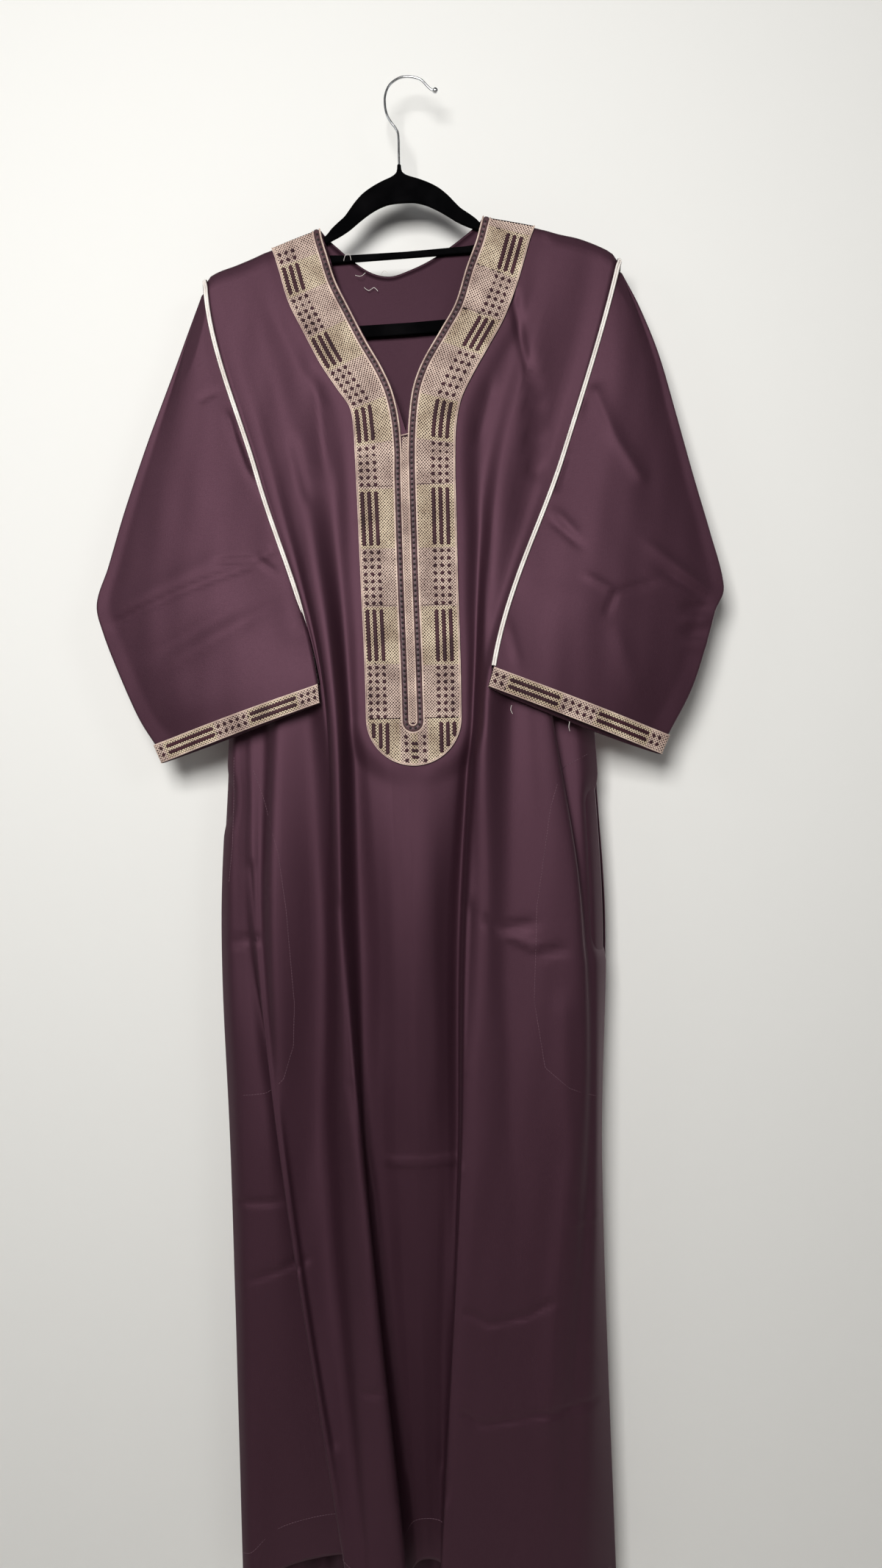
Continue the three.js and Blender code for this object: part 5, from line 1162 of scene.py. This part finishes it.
cream_work, pink_work, plum_work = Stitching(), Stitching(), Stitching()
for arm, side, first_column, blocks in ((LEFT_ARM, -1, LEFT_COLUMN, LEFT_BLOCKS),
                                        (RIGHT_ARM, 1, RIGHT_COLUMN, RIGHT_BLOCKS)):
    def place(a, d, height, arm=arm):
        x, z = on_arm(arm, d, a)
        return bib_surface(x, z, GROUND_LIFT + height)

    bars, dots = block_marks(arm, first_column, blocks)
    widest = float(arm["width"].max())
    across = np.arange(1.9, widest, HOLE_ACROSS)
    down = np.arange(0, arm["run"][-1] - 0.4, HOLE_DOWN)

    def worked(a, d, arm=arm, bars=bars, dots=dots):
        inside = a < np.interp(d, arm["run"], arm["width"]) - FIELD_FROM + 0.9
        return inside & clear_of(bars, dots, a, d, -UNDER_MARKS)

    def by_bars(d, bars=bars):
        return near_bars(bars, d, 2.5)

    lean = 0.12 if side < 0 else 0.0
    lattice(cream_work, across, down, lambda a, d: worked(a, d) & by_bars(d), place, lean=lean)
    lattice(pink_work, across, down, lambda a, d: worked(a, d) & ~by_bars(d), place, lean=lean)
    for column, low, high in bars:
        bar(plum_work, low, min(high, arm["run"][-1] - 0.5),
            lambda up, column=column, arm=arm: np.stack(on_arm(arm, up, column), -1))
    for up in (values[0] for kind, *values in blocks if kind == "line"):
        field_to = float(np.interp(up, arm["run"], arm["width"])) - FIELD_FROM
        inward = np.linspace(first_column + 2, field_to, 24)
        path, along_line, out = frame_along(np.stack(on_arm(arm, up, inward), -1), GROUND_LIFT + 0.55)
        rib(plum_work, path, along_line, out, 0.55, 0.4, None, 5)
    fits = dots[:, 1] < arm["run"][-1] - 2
    dots_worked(plum_work, dots[fits][:, :2], dots[fits][:, 2], place)

# Below the slit the band ends in a half round: the bars run down into its curve, and three
# short columns of dots stand in the middle.
FOOT_BARS = (-48.8, -41.4, -34.2, 23.0, 30.0, 37.0)
FOOT_BARS_TOP = -702.5
FOOT_DOTS = [(-14.7, -718), (-14.5, -725), (-14.2, -732.5), (-14, -743),
             (4.8, -718), (4.9, -725.5), (5, -733), (5.6, -743.5),
             (-6.9, -725.4), (-3.7, -725.6), (-7, -732.7), (-3.6, -732.9), (-6.8, -739.6),
             (-3.4, -740)]


def foot_place(x, z, height):
    """Points on the foot of the band, so far above its ground."""
    return bib_surface(x, z, GROUND_LIFT + height)


def foot_reach(x):
    """Height of the outer curve of the foot at a place across."""
    return BIB_FOOT[1] - math.sqrt(max((BIB_FOOT[2] - 3.2) ** 2 - (x - BIB_FOOT[0]) ** 2, 0))


def foot_worked(x, z):
    """Where the lattice of the foot is worked."""
    rounded = np.hypot(x - BIB_FOOT[0], z - BIB_FOOT[1]) < BIB_FOOT[2] - 1.8
    turn = np.hypot(x - EDGE_TURN[0], z - EDGE_TURN[1]) > EDGE_TURN[2] + FIELD_FROM - 0.9
    beside = (z < EDGE_TURN[1]) | (np.abs(x - EDGE_TURN[0]) > EDGE_TURN[2] + FIELD_FROM - 0.9)
    bars = np.array([(x0, foot_reach(x0), FOOT_BARS_TOP) for x0 in FOOT_BARS])
    dots = np.array([(*dot, DOT_ACROSS / 2) for dot in FOOT_DOTS])
    return (z < BIB_FOOT[1] - 0.6) & rounded & turn & beside & clear_of(bars, dots, x, z, -UNDER_MARKS)


foot_x, foot_z, foot_radius = BIB_FOOT
foot_across = np.arange(foot_x - foot_radius, foot_x + foot_radius + 1, HOLE_ACROSS)
foot_down = np.arange(foot_z - foot_radius - 1, foot_z + 1, HOLE_DOWN)
lattice(cream_work, foot_across, foot_down,
        lambda x, z: foot_worked(x, z) & (np.abs(np.abs(x + 6) - 9.5) > 4.5), foot_place)
lattice(pink_work, foot_across, foot_down,
        lambda x, z: foot_worked(x, z) & (np.abs(np.abs(x + 6) - 9.5) < 6), foot_place)
for x0 in FOOT_BARS:
    bar(plum_work, foot_reach(x0), FOOT_BARS_TOP,
        lambda z, x0=x0: np.stack([np.full_like(z, x0), z], -1))
dots_worked(plum_work, FOOT_DOTS, [DOT_ACROSS / 2] * len(FOOT_DOTS), foot_place)

for inward, width, height in ((0.75, 1.2, 0.85), (2.0, 0.9, 0.7)):
    path, across, out = frame_along(evenly(outer_line(inward), 0.8), GROUND_LIFT - 0.1)
    rib(pink_work, path, across, out, width, height, ply_twist(2.1, 0.2), 5)
satin_at = CORD_WIDTH + BRAID_WIDTH + SATIN_WIDTH / 2
path, across, out = frame_along(evenly(neck_line(satin_at), 0.9), GROUND_LIFT)
rib(pink_work, path, across, out, SATIN_WIDTH, 1.0, ply_twist(1.3, 0.06), 6)


def ground_rows():
    """The whole plum ground of the band, from the left shoulder round to the right one."""
    shares = np.linspace(0, 1, 9)
    sides = []
    for arm in (LEFT_ARM, RIGHT_ARM):
        up = np.linspace(0, arm["run"][-1], 150)[:, None]
        width = np.interp(up, arm["run"], arm["width"])
        sides.append(np.stack(on_arm(arm, up, 0.25 + (width - FIELD_FROM + 0.95) * shares), -1))
    turn = np.linspace(math.pi, 2 * math.pi, 48)[1:-1, None, None]
    around = np.concatenate([np.cos(turn), np.sin(turn)], -1)
    outside = np.array(BIB_FOOT[:2]) + (BIB_FOOT[2] - 0.25) * around
    inside = np.array(EDGE_TURN[:2]) + (EDGE_TURN[2] + FIELD_FROM - 1.2) * around
    foot = outside + (inside - outside) * shares[:, None]
    return np.concatenate([sides[0][::-1], foot, sides[1]])


ground_flat = ground_rows()
ground_work = Stitching()
ground_lift = np.full(ground_flat.shape[:2], GROUND_LIFT)
ground_work.grid(bib_surface(ground_flat[..., 0], ground_flat[..., 1], ground_lift))
thicken(ground_work.sew("bib_ground", band_ground, "embroidery", "neck_band"), 1.2)
cream_work.sew("bib_cream_lattice", cream_thread, "embroidery")
pink_work.sew("bib_pink_lattice", pink_thread, "embroidery")
plum_work.sew("bib_plum_bars", plum_thread, "embroidery")

# ---------------------------------------------------------------- edge of neck and slit
# The neck and slit are bound by a raised plum braid with a dark bead in each of its loops,
# and beside it, on the very edge, by a pale twisted cord.
BEAD_APART, BEAD_ACROSS = 5.7, 2.9
braid_work, bead_work, cord_work = Stitching(), Stitching(), Stitching()
braid_at = CORD_WIDTH + BRAID_WIDTH / 2
path, across, out = frame_along(evenly(neck_line(braid_at), 1.0), GROUND_LIFT - 0.2)


def braid_loops(run, off):
    """The loops of the braid swell between its beads."""
    return 0.16 * np.cos(2 * np.pi * run / BEAD_APART + 0.5 * off) + 0.08 * np.sin(8 * run + 3 * off)


rib(braid_work, path, across, out, BRAID_WIDTH, 1.3, braid_loops, 7)
bead_line = evenly(neck_line(braid_at - 0.4), BEAD_APART)
middle, across, out = frame_along(bead_line, GROUND_LIFT + 0.95)
dome_turn = np.linspace(0, 2 * math.pi, 13)
for k in range(1, len(middle) - 1):
    ahead = np.cross(out[k], across[k])
    rings = []
    for ring, rise in ((1.0, 0.0), (0.92, 0.35), (0.6, 0.62), (0.05, 0.72)):
        radius = BEAD_ACROSS / 2 * ring
        rings.append(middle[k] + radius * (np.cos(dome_turn)[:, None] * across[k]
                                           + np.sin(dome_turn)[:, None] * ahead) + out[k] * rise)
    bead_work.grid(np.array(rings))
path, across, out = frame_along(evenly(neck_line(CORD_WIDTH / 2), 0.55), GROUND_LIFT - 0.3)
rib(cord_work, path, across, out, CORD_WIDTH, 1.7, ply_twist(2.3, 0.3), 7)
bead_glass = thread_material("dark_bead", (0.012, 0.006, 0.008), (0.005, 0.003, 0.004), 0.45, 0.3)
braid_thread = thread_material("braid_thread", (0.12, 0.06, 0.07), (0.05, 0.024, 0.03), 0.5, 0.4)
thicken(braid_work.sew("edge_braid_plum", braid_thread, "edge_braid", "edge_braid"), 0.6)
bead_work.sew("edge_braid_beads", bead_glass, "edge_braid")
cord_work.sew("edge_cord", pink_thread, "embroidery")

# ---------------------------------------------------------------- placket strip
# Between the two braids the closed part of the slit is covered by a narrow lattice of pink
# thread on the plum ground; a short bar of thread ties it off at the top.
SLIT_LINE = [(-391, -9.0), (-440, -10.2), (-480, -9.9), (-560, -9.0), (-640, -7.4), (-704, -6.8)]
STRIP_HALF, STRIP_TOP, STRIP_FOOT = 3.0, -396, -703


def strip_place(a, z, height):
    """Points on the strip, so far to the side of the slit."""
    return bib_surface(a + smooth_table(*zip(*SLIT_LINE), z), z, GROUND_LIFT - 0.2 + height)


strip_work, strip_ground = Stitching(), Stitching()
a, z = np.meshgrid(np.linspace(-STRIP_HALF, STRIP_HALF, 5), np.linspace(STRIP_TOP, STRIP_FOOT, 120))
strip_ground.grid(strip_place(a, z, np.zeros(a.shape)))
lattice(strip_work, np.linspace(-STRIP_HALF, STRIP_HALF, 5), np.arange(STRIP_FOOT, STRIP_TOP, 1.5),
        lambda a, z: np.abs(a) < STRIP_HALF, strip_place, wobble=0.06)
tie = np.stack([np.linspace(-4.5, 4.5, 12) - 9, np.linspace(-395.6, -393.4, 12)], -1)
path, across, out = frame_along(tie, GROUND_LIFT + 0.6)
rib(strip_work, path, across, out, 1.2, 0.8, ply_twist(1.5, 0.15), 5)
thicken(strip_ground.sew("placket_ground", band_ground, "embroidery", "placket_strip"), 0.9)
strip_work.sew("placket_lattice", pink_thread, "embroidery")

# ---------------------------------------------------------------- cuffs
# Each sleeve ends in a band of the same embroidery, about 20 mm deep, that goes right round
# it: two rows of plum dots and two plum bars in turn, in a cream lattice with a pink edge.
CUFF_DEPTH, CUFF_LIFT = 20.5, 1.5
CUFF_ROWS = (6.4, 13.6)
CUFF_BAR = 4.1
# blocks from the inner corner outwards: kind, from, to; dots give their number
LEFT_CUFF = [("dots", 4.5, 18.5, 3), ("bars", 24.5, 76.5), ("dots", 83.0, 112.5, 5),
             ("bars", 118.5, 177.5), ("dots", 183.5, 190.5, 1)]
RIGHT_CUFF = [("dots", 5.0, 12.5, 2), ("bars", 19.5, 75.5), ("dots", 81.5, 113.5, 5),
              ("bars", 120.0, 183.0), ("dots", 188.5, 195.5, 2)]
cuff_cream, cuff_pink, cuff_plum = Stitching(), Stitching(), Stitching()


def cuff_ring(sleeve, share, cuff):
    """Points of the cuff's outer face, for shares 0 to 1 along the front from the inner
    corner and 1 to 2 back along the other side."""
    flat_share = np.where(share <= 1, share, 2 - share)
    front_side, back_side = sleeve_points(sleeve, 1, flat_share, cuff)
    return np.where((share <= 1)[..., None], front_side, back_side)


def cuff_surface(sleeve):
    """A smooth map from millimetres along the ring and down the band, and the ring's length."""
    shares = np.concatenate([np.linspace(0, 1, 260), np.linspace(1, 2, 260)[1:]])
    rings = np.array([cuff_ring(sleeve, shares, cuff) for cuff in np.linspace(0, 1, 5)])
    run = length_so_far(rings[2])
    ahead, down = np.gradient(rings, axis=1), np.gradient(rings, axis=0)
    normals = np.cross(down, ahead) * sleeve["side"]
    normals /= np.maximum(np.linalg.norm(normals, axis=-1, keepdims=True), 1e-9)

    def place(along, depth, height):
        along, depth, height = np.broadcast_arrays(along, depth, height)
        level = np.clip(depth / CUFF_DEPTH, 0, 1) * 4
        row = np.clip(level.astype(int), 0, 3)
        part = (level - row)[..., None]
        at = np.interp(along, run, np.arange(len(run)))
        k = np.clip(at.astype(int), 0, len(run) - 2)
        t = (at - k)[..., None]

        def blend(field):
            upper = field[row, k] * (1 - t) + field[row, k + 1] * t
            lower = field[row + 1, k] * (1 - t) + field[row + 1, k + 1] * t
            return upper * (1 - part) + lower * part

        return blend(rings) + blend(normals) * (CUFF_LIFT + height)[..., None]

    return place, run[-1]


def on_surface(place, along, depth, lift):
    """Path, sideways and outward directions on a cuff."""
    path = place(along, depth, lift)
    return with_sides(path, place(along, depth, lift + 1) - path)


def cuff_marks(blocks, whole):
    """Bars and dots of one cuff, the same on its back as on its front."""
    bars, dots = [], []
    for kind, low, high, *count in blocks:
        for row in CUFF_ROWS:
            for mirrored in (False, True):
                if kind == "bars":
                    bars.append((row, *((low, high) if not mirrored else (whole - high, whole - low))))
                else:
                    for at in np.linspace(low, high, *count):
                        dots.append((row, at if not mirrored else whole - at, DOT_ACROSS / 2 - 0.1))
    return np.array(bars), np.array(dots)


for side_name, sleeve, blocks in (("left", LEFT_SLEEVE, LEFT_CUFF), ("right", RIGHT_SLEEVE, RIGHT_CUFF)):
    place, whole = cuff_surface(sleeve)
    bars, dots = cuff_marks(blocks, whole)

    def cuff_place(depth, along, height, place=place):
        return place(along, depth, height)

    def cuff_worked(depth, along, bars=bars, dots=dots):
        return (depth > 1.2) & (depth < CUFF_DEPTH - 1.2) & clear_of(bars, dots, depth, along, -UNDER_MARKS)

    def beside_bars(along, bars=bars):
        return near_bars(bars, along, 2)

    deep, along = np.arange(1.0, CUFF_DEPTH, 1.5), np.arange(0, whole, HOLE_DOWN)
    lattice(cuff_cream, deep, along, lambda a, d: cuff_worked(a, d) & beside_bars(d), cuff_place)
    lattice(cuff_pink, deep, along, lambda a, d: cuff_worked(a, d) & ~beside_bars(d), cuff_place)
    for row, low, high in bars:
        up = np.linspace(low, high, int((high - low) / 0.7))
        end = np.minimum(up - low, high - up) / (BAR_WIDTH / 2)
        narrow = np.sqrt(np.clip(1 - (1 - np.minimum(end, 1)) ** 2, 0.02, 1))
        path, across, out = on_surface(place, up, np.full_like(up, row), 0)
        rib(cuff_plum, path, across, out, CUFF_BAR * narrow, 1.4 * narrow, ply_twist(1.9, 0.5), 9, 4)
    dots_worked(cuff_plum, dots[:, :2], dots[:, 2], cuff_place)
    ring = np.linspace(0, whole, int(whole / 0.8))
    for depth in (0.6, CUFF_DEPTH - 0.6):
        path, across, out = on_surface(place, ring, np.full_like(ring, depth), -0.1)
        rib(cuff_pink, path, across, out, 1.4, 0.9, ply_twist(2.1, 0.2), 5)
    ground = Stitching()
    a, d = np.meshgrid(np.linspace(0, whole, 260), np.linspace(0.1, CUFF_DEPTH - 0.1, 9))
    ground.grid(place(a, d, np.zeros(a.shape))[:, ::sleeve["side"]])
    thicken(ground.sew(f"cuff_ground_{side_name}", band_ground, "embroidery", f"cuff_band_{side_name}"), 1.0)
cuff_cream.sew("cuff_cream_lattice", cream_thread, "embroidery")
cuff_pink.sew("cuff_pink_lattice", pink_thread, "embroidery")
cuff_plum.sew("cuff_plum_bars", plum_thread, "embroidery")

# ---------------------------------------------------------------- armhole braid
# A flat white braid of two twisted cords covers each armhole seam: it runs from the cuff up
# the front, over the shoulder, and down the back as far as the sleeve is sewn on there.
BRAID_CORD, BRAID_STANDS = 2.35, 1.5
LEFT_SINKS = (-612, -560)
BACK_RUN = (0.05, 0.13, 0.25, 0.4, 0.55, 0.7, 0.85, 1, 1.25, 1.44)
white_thread = thread_material("white_thread", (0.9, 0.87, 0.83), (0.72, 0.66, 0.62), 0.5, 0.4)


def armhole_route(sleeve):
    """Route of the braid and the direction in which it faces."""
    side, rows = sleeve["side"], []
    for level in np.linspace(1.999, 0.03, 70):
        x, y, z = [np.interp(level / 2, ARMHOLE_RUN, column) for column in sleeve["armhole"].T]
        lift = sleeve["lift"] * ease(0.82, 1, level / 2)
        rows.append((x + side * 1.6 * ease(0.7, 1, level / 2), y - lift - 0.6, z, 0.15 * side, -1, 0))
    tip_x, _, tip_z = sleeve["armhole"][0]
    rows += [(tip_x + side, -5, tip_z + 0.4, 0.6 * side, -0.7, 0.5),
             (tip_x + side, 0, tip_z + 2.6, 0.75 * side, 0, 0.8),
             (tip_x + side, 5, tip_z + 0.4, 0.6 * side, 0.7, 0.5)]
    seam = 0 if side < 0 else len(BACK_LINES) - 1
    for level in BACK_RUN:
        x, y, z = back_points([float(seam)], level)[0]
        rows.append((x + side * 0.4, y + 0.4, z, 0.1 * side, 1, 0))
    rows = np.array(rows)
    dense = along_path(rows, np.linspace(0, 1, 900))
    kernel = np.ones(9) / 9
    padded = np.pad(dense, ((4, 4), (0, 0)), mode="edge")
    return np.stack([np.convolve(column, kernel, "valid") for column in padded.T], -1)


for side_name, sleeve in (("left", LEFT_SLEEVE), ("right", RIGHT_SLEEVE)):
    route = armhole_route(sleeve)
    path, across, out = with_sides(route[:, :3], unit(route[:, 3:]))
    white, edge = Stitching(), Stitching()
    # the left one sinks under the rolled edge of the sleeve before it reaches the cuff
    shown = ease(*LEFT_SINKS, route[:, 2]) if side_name == "left" else np.ones(len(route))
    shown = np.where(route[:, 1] > 0, 1, np.maximum(shown, 0.02))[:, None]
    seat = path + out * (1.0 - 2.6 * (1 - shown))
    for off in (-1, 1):
        rib(white, seat + across * off * shown * BRAID_CORD / 2, across, out, BRAID_CORD * shown[:, 0],
            BRAID_STANDS * shown[:, 0], ply_twist(2.2, 0.35), 7)
    rib(edge, seat - out * 0.3, across, out, (2 * BRAID_CORD + 1.0) * shown[:, 0], 0.5, None, 5)
    white.sew(f"armhole_braid_{side_name}_cords", white_thread, "white_braid", f"armhole_braid_{side_name}")
    edge.sew(f"armhole_braid_{side_name}_tape", plum_thread, "white_braid")

# ---------------------------------------------------------------- seams and topstitching
# Hem and pockets are topstitched in plum thread that sinks a little into the cloth; the foot
# of the neck facing is overlocked, and a few thread ends were never cut off.
HEM_DEEP, KNEE_TO_HEM = 50, 470
STITCH_LONG, STITCH_APART, STITCH_WIDE = 2.3, 3.1, 0.75
# x, z along each pocket's topstitching, and along the hem of each hand opening
POCKET_STITCHING = [
    [(-180, -750), (-168, -785), (-153, -840), (-146, -900), (-140, -1000), (-142, -1045),
     (-153, -1080), (-172, -1097), (-205, -1100)],
    [(180, -740), (150, -755), (137, -795), (120, -900), (115, -1000), (125, -1070), (150, -1092),
     (190, -1110)],
    [(-202, -735), (-205, -830), (-210, -870)],
    [(187, -765), (190, -895)],
]
topstitch_thread = thread_material("topstitch_thread", (0.17, 0.09, 0.12), (0.1, 0.05, 0.07), 0.6, 0.3)
overlock_thread = thread_material("overlock_thread", (0.34, 0.28, 0.33), (0.2, 0.15, 0.19), 0.6, 0.3)
cloth_points = front_cloth.reshape(-1, 3)


def on_front(flat):
    """Points of the front's outer face nearest to flat x, z places."""
    found = []
    for x, z in flat:
        away = np.hypot(cloth_points[:, 0] - x, cloth_points[:, 2] - z)
        near = np.argsort(away)[:6]
        weight = 1 / (away[near] + 0.3)
        found.append((x, np.sum(cloth_points[near, 1] * weight) / np.sum(weight), z))
    return np.array(found)


def stitch_line(stitching, path, outward, wide=STITCH_WIDE):
    """A row of separate stitches along a path on the cloth."""
    length = np.sum(np.linalg.norm(np.diff(path, axis=0), axis=1))
    for start in np.arange(0, length - STITCH_LONG, STITCH_APART):
        stitch = along_path(path, (start + STITCH_LONG * np.linspace(0, 1, 4)) / length)
        out = np.tile(np.array(outward, float), (4, 1))
        across = np.cross(unit(np.gradient(stitch, axis=0)), out)
        rib(stitching, stitch, across, out, [0.3, wide, wide, 0.3], 0.45, None, 5)


topstitching, overlock, thread_ends = Stitching(), Stitching(), Stitching()
for line in POCKET_STITCHING:
    stitch_line(topstitching, on_front(evenly(np.array(line, float), 3)), (0, -1, 0))
hem_level = 5 - HEM_DEEP / KNEE_TO_HEM
hem_front = front_points(np.linspace(0.3, len(FRONT_LINES) - 1.3, 300), hem_level)
hem_back = back_points(np.linspace(0.3, len(BACK_LINES) - 1.3, 300), hem_level)
stitch_line(topstitching, hem_front, (0, -1, 0))
stitch_line(topstitching, hem_back, (0, 1, 0))
facing_foot = facing_row(1) + np.array([0, -0.3, 1])
stitch_line(overlock, facing_foot, (0, -1, 0), 1.3)
# where each loose end starts, and how it bends: x, y, z for each of its points
LOOSE_ENDS = [
    [(-72, -5, -200), (-70, -7, -195), (-66, -6, -193), (-64, -4, -199)],
    [(-60, -1, -214), (-54, -3, -216), (-49, -2, -212)],
    [(-33, 3, -213), (-29, 1, -209), (-24, 1, -212)],
    [(-51, 2, -226), (-46, 1, -230), (-40, 1, -227), (-36, 1, -231)],
    [(97, -48, -688), (96, -49, -693), (98, -48, -697)],
    [(158, -42, -706), (157, -43, -712), (158, -42, -716)],
]
for end in LOOSE_ENDS:
    end = np.array(end, float)
    path = across_lines(end, np.linspace(0, len(end) - 1, 24))
    out = np.tile([0.0, -1.0, 0.0], (len(path), 1))
    across = np.cross(unit(np.gradient(path, axis=0)), out)
    rib(thread_ends, path, across, out, 0.5, 0.4, None, 5)
topstitching.sew("topstitching_plum", topstitch_thread, "cloth")
overlock.sew("facing_overlock", overlock_thread, "cloth")
thread_ends.sew("loose_thread_ends", white_thread, "embroidery")

# ---------------------------------------------------------------- hanger
# The hanger is moulded flat in one piece with a thick soft edge and flocked all over in
# black velvet; its two shoulders are notched at the tips and joined by a bar.
HANGER_PEAK, HANGER_TILT, HANGER_THICK = (-10, -101.5), math.radians(3.2), 5.0
# out from the middle and up from the peak
ARM_TOP = [
    (2.5, 0), (3.4, -1.5), (5.5, -3.6), (9.4, -5.9), (20, -9.9), (32, -15.6), (42, -22), (51, -30.6),
    (58, -39), (63.5, -45.3), (70, -50.4), (78, -57), (86, -65), (110, -75), (140, -83), (170, -94),
    (188, -101), (199, -107), (204, -112), (204, -119), (199, -125), (191, -129), (189, -136),
    (189, -160), (186, -170), (178, -176), (168, -177),
]
ARM_BOTTOM = [
    (8, -34.8), (16, -35.8), (27, -39.5), (39, -46), (49.5, -53.2), (59, -60), (69.5, -65.8),
    (80, -70.5), (90, -76), (98, -80), (102, -82.5), (100, -84.5),
]
LOWER_HOLE = [
    (108, -94.5), (122, -94), (150, -104), (168, -112), (174, -120), (174, -150), (171, -157),
    (164, -160.5),
]


def velvet_material():
    """Black flocking: almost no light back, and a fine pile."""
    velvet, nodes, links, shader = start_material("black_velvet")
    place = nodes.new("ShaderNodeTexCoord")
    pile, wear = noise(nodes, 1400), noise(nodes, 30, 5)
    links.new(place.outputs["Object"], pile.inputs["Vector"])
    links.new(place.outputs["Object"], wear.inputs["Vector"])
    two_tones(nodes, links, shader, wear.outputs["Fac"], (0.4, 0.75),
              ((0.0012, 0.0012, 0.0015), (0.0035, 0.0033, 0.0038)))
    relief(nodes, links, shader, pile.outputs["Fac"], 0.5, 0.0002)
    shader.inputs["Roughness"].default_value = 0.9
    shader.inputs["Specular IOR Level"].default_value = 0.02
    return velvet


black_velvet = velvet_material()


def rounded_outline(half):
    """Both halves of an outline as one fair closed line in the hanger's plane."""
    whole = np.array(half + [(-x, z) for x, z in reversed(half)], float)
    closed = np.concatenate([whole[-2:], whole, whole[:3]])
    share = np.linspace(1.5, len(whole) + 1.5, len(whole) * 4 + 1)[:-1]
    points = across_lines(closed, share)
    turn = np.array([[math.cos(HANGER_TILT), -math.sin(HANGER_TILT)],
                     [math.sin(HANGER_TILT), math.cos(HANGER_TILT)]])
    return points @ turn.T + np.array(HANGER_PEAK)


def hanger_piece():
    """The flat body: an outline with its holes, filled and rounded at the edges."""
    curve = bpy.data.curves.new("hanger_outline", "CURVE")
    curve.dimensions = "2D"
    curve.fill_mode = "BOTH"
    soft_edge = 1.5
    curve.extrude = (HANGER_THICK / 2 - soft_edge) * MM
    curve.bevel_depth = soft_edge * MM
    curve.bevel_resolution = 3
    curve.offset = -soft_edge * MM
    for half in (ARM_TOP, ARM_BOTTOM, LOWER_HOLE):
        line = curve.splines.new("POLY")
        points = rounded_outline(half) * MM
        line.points.add(len(points) - 1)
        flat_points = np.column_stack([points, np.zeros(len(points)), np.ones(len(points))])
        line.points.foreach_set("co", flat_points.ravel())
        line.use_cyclic_u = True
    flat = bpy.data.objects.new("hanger_flat", curve)
    mesh = bpy.data.meshes.new_from_object(flat)
    mesh.transform(Matrix.Rotation(math.pi / 2, 4, "X"))
    mesh.materials.clear()
    mesh.materials.append(black_velvet)
    bpy.data.objects.remove(flat)
    return put("hanger_velvet_body", mesh)


hang(hanger_piece(), "hanger_velvet", "hanger_body")

# ---------------------------------------------------------------- hook
# The hook is bent from one chromed wire; its free end is formed into a small ball, and its
# stem is pressed into the short flocked neck of the hanger, where it can be turned.
WIRE, BALL = 2.8, 6.2
HOOK_ROUTE = [
    (34, -13.6), (29.5, -14.3), (25.6, -12.6), (22, -9), (15.9, -2.55), (8.3, 0.4), (0, 1.4),
    (-6.7, 0.4),
    (-12.8, -2.55), (-18.2, -7), (-21.8, -13.2), (-23.8, -20.1), (-24.1, -27.3), (-23.3, -35),
    (-21.4, -41.5), (-17.8, -48), (-13.6, -53.8), (-10.8, -59), (-10, -66), (-10, -80), (-10, -94.6),
]


def round_wire(route, radii, sides=20):
    """A round solid along a route in the hanger's plane."""
    centre = np.stack([route[:, 0], np.zeros(len(route)), route[:, 1]], -1)
    forward = np.array([0.0, -1.0, 0.0])
    across = np.cross(unit(np.gradient(centre, axis=0)), forward)
    turn = np.linspace(0, 2 * math.pi, sides + 1)
    ring = (np.cos(turn)[None, :, None] * across[:, None] + np.sin(turn)[None, :, None] * forward)
    wire = Stitching()
    wire.grid(centre[:, None] + ring * radii[:, None, None])
    return wire


chrome, chrome_nodes, chrome_links, chrome_shader = start_material("hook_chrome")
chrome_shader.inputs["Base Color"].default_value = (0.62, 0.63, 0.65, 1)
chrome_shader.inputs["Metallic"].default_value = 1
draw_marks = noise(chrome_nodes, 160, 4)
gloss = chrome_nodes.new("ShaderNodeMapRange")
gloss.inputs["To Min"].default_value = 0.12
gloss.inputs["To Max"].default_value = 0.34
chrome_place = chrome_nodes.new("ShaderNodeTexCoord")
chrome_links.new(chrome_place.outputs["Object"], draw_marks.inputs["Vector"])
chrome_links.new(draw_marks.outputs["Fac"], gloss.inputs["Value"])
chrome_links.new(gloss.outputs["Result"], chrome_shader.inputs["Roughness"])

route = np.array(HOOK_ROUTE, float)
fair = across_lines(route, np.linspace(0, len(route) - 1, 260))
run = length_so_far(fair)
into_ball = np.clip(1 - ((run - BALL / 2) / (BALL / 2)) ** 2, 0, 1)
thickness = np.maximum(np.sqrt(into_ball) * BALL / 2 * (run < BALL), (run > BALL / 2) * WIRE / 2)
hook = round_wire(fair, np.maximum(thickness, 0.02))
hook.sew("hook_wire", chrome, "hook_metal", "hanger_hook")
# up from the hanger's peak, and radius of the neck there
HANGER_NECK = [(7.0, 1.45), (6.9, 1.8), (6.4, 2.05), (5.6, 2.15), (4.4, 2.2), (3, 2.3), (1.8, 2.5),
               (0.6, 2.85), (0.3, 2.9)]
neck = np.array([(HANGER_PEAK[0], HANGER_PEAK[1] + up) for up, _ in HANGER_NECK], float)
neck_solid = round_wire(neck, np.array([radius for _, radius in HANGER_NECK]))
neck_solid.sew("hanger_neck", black_velvet, "hanger_velvet", "hanger_collar")
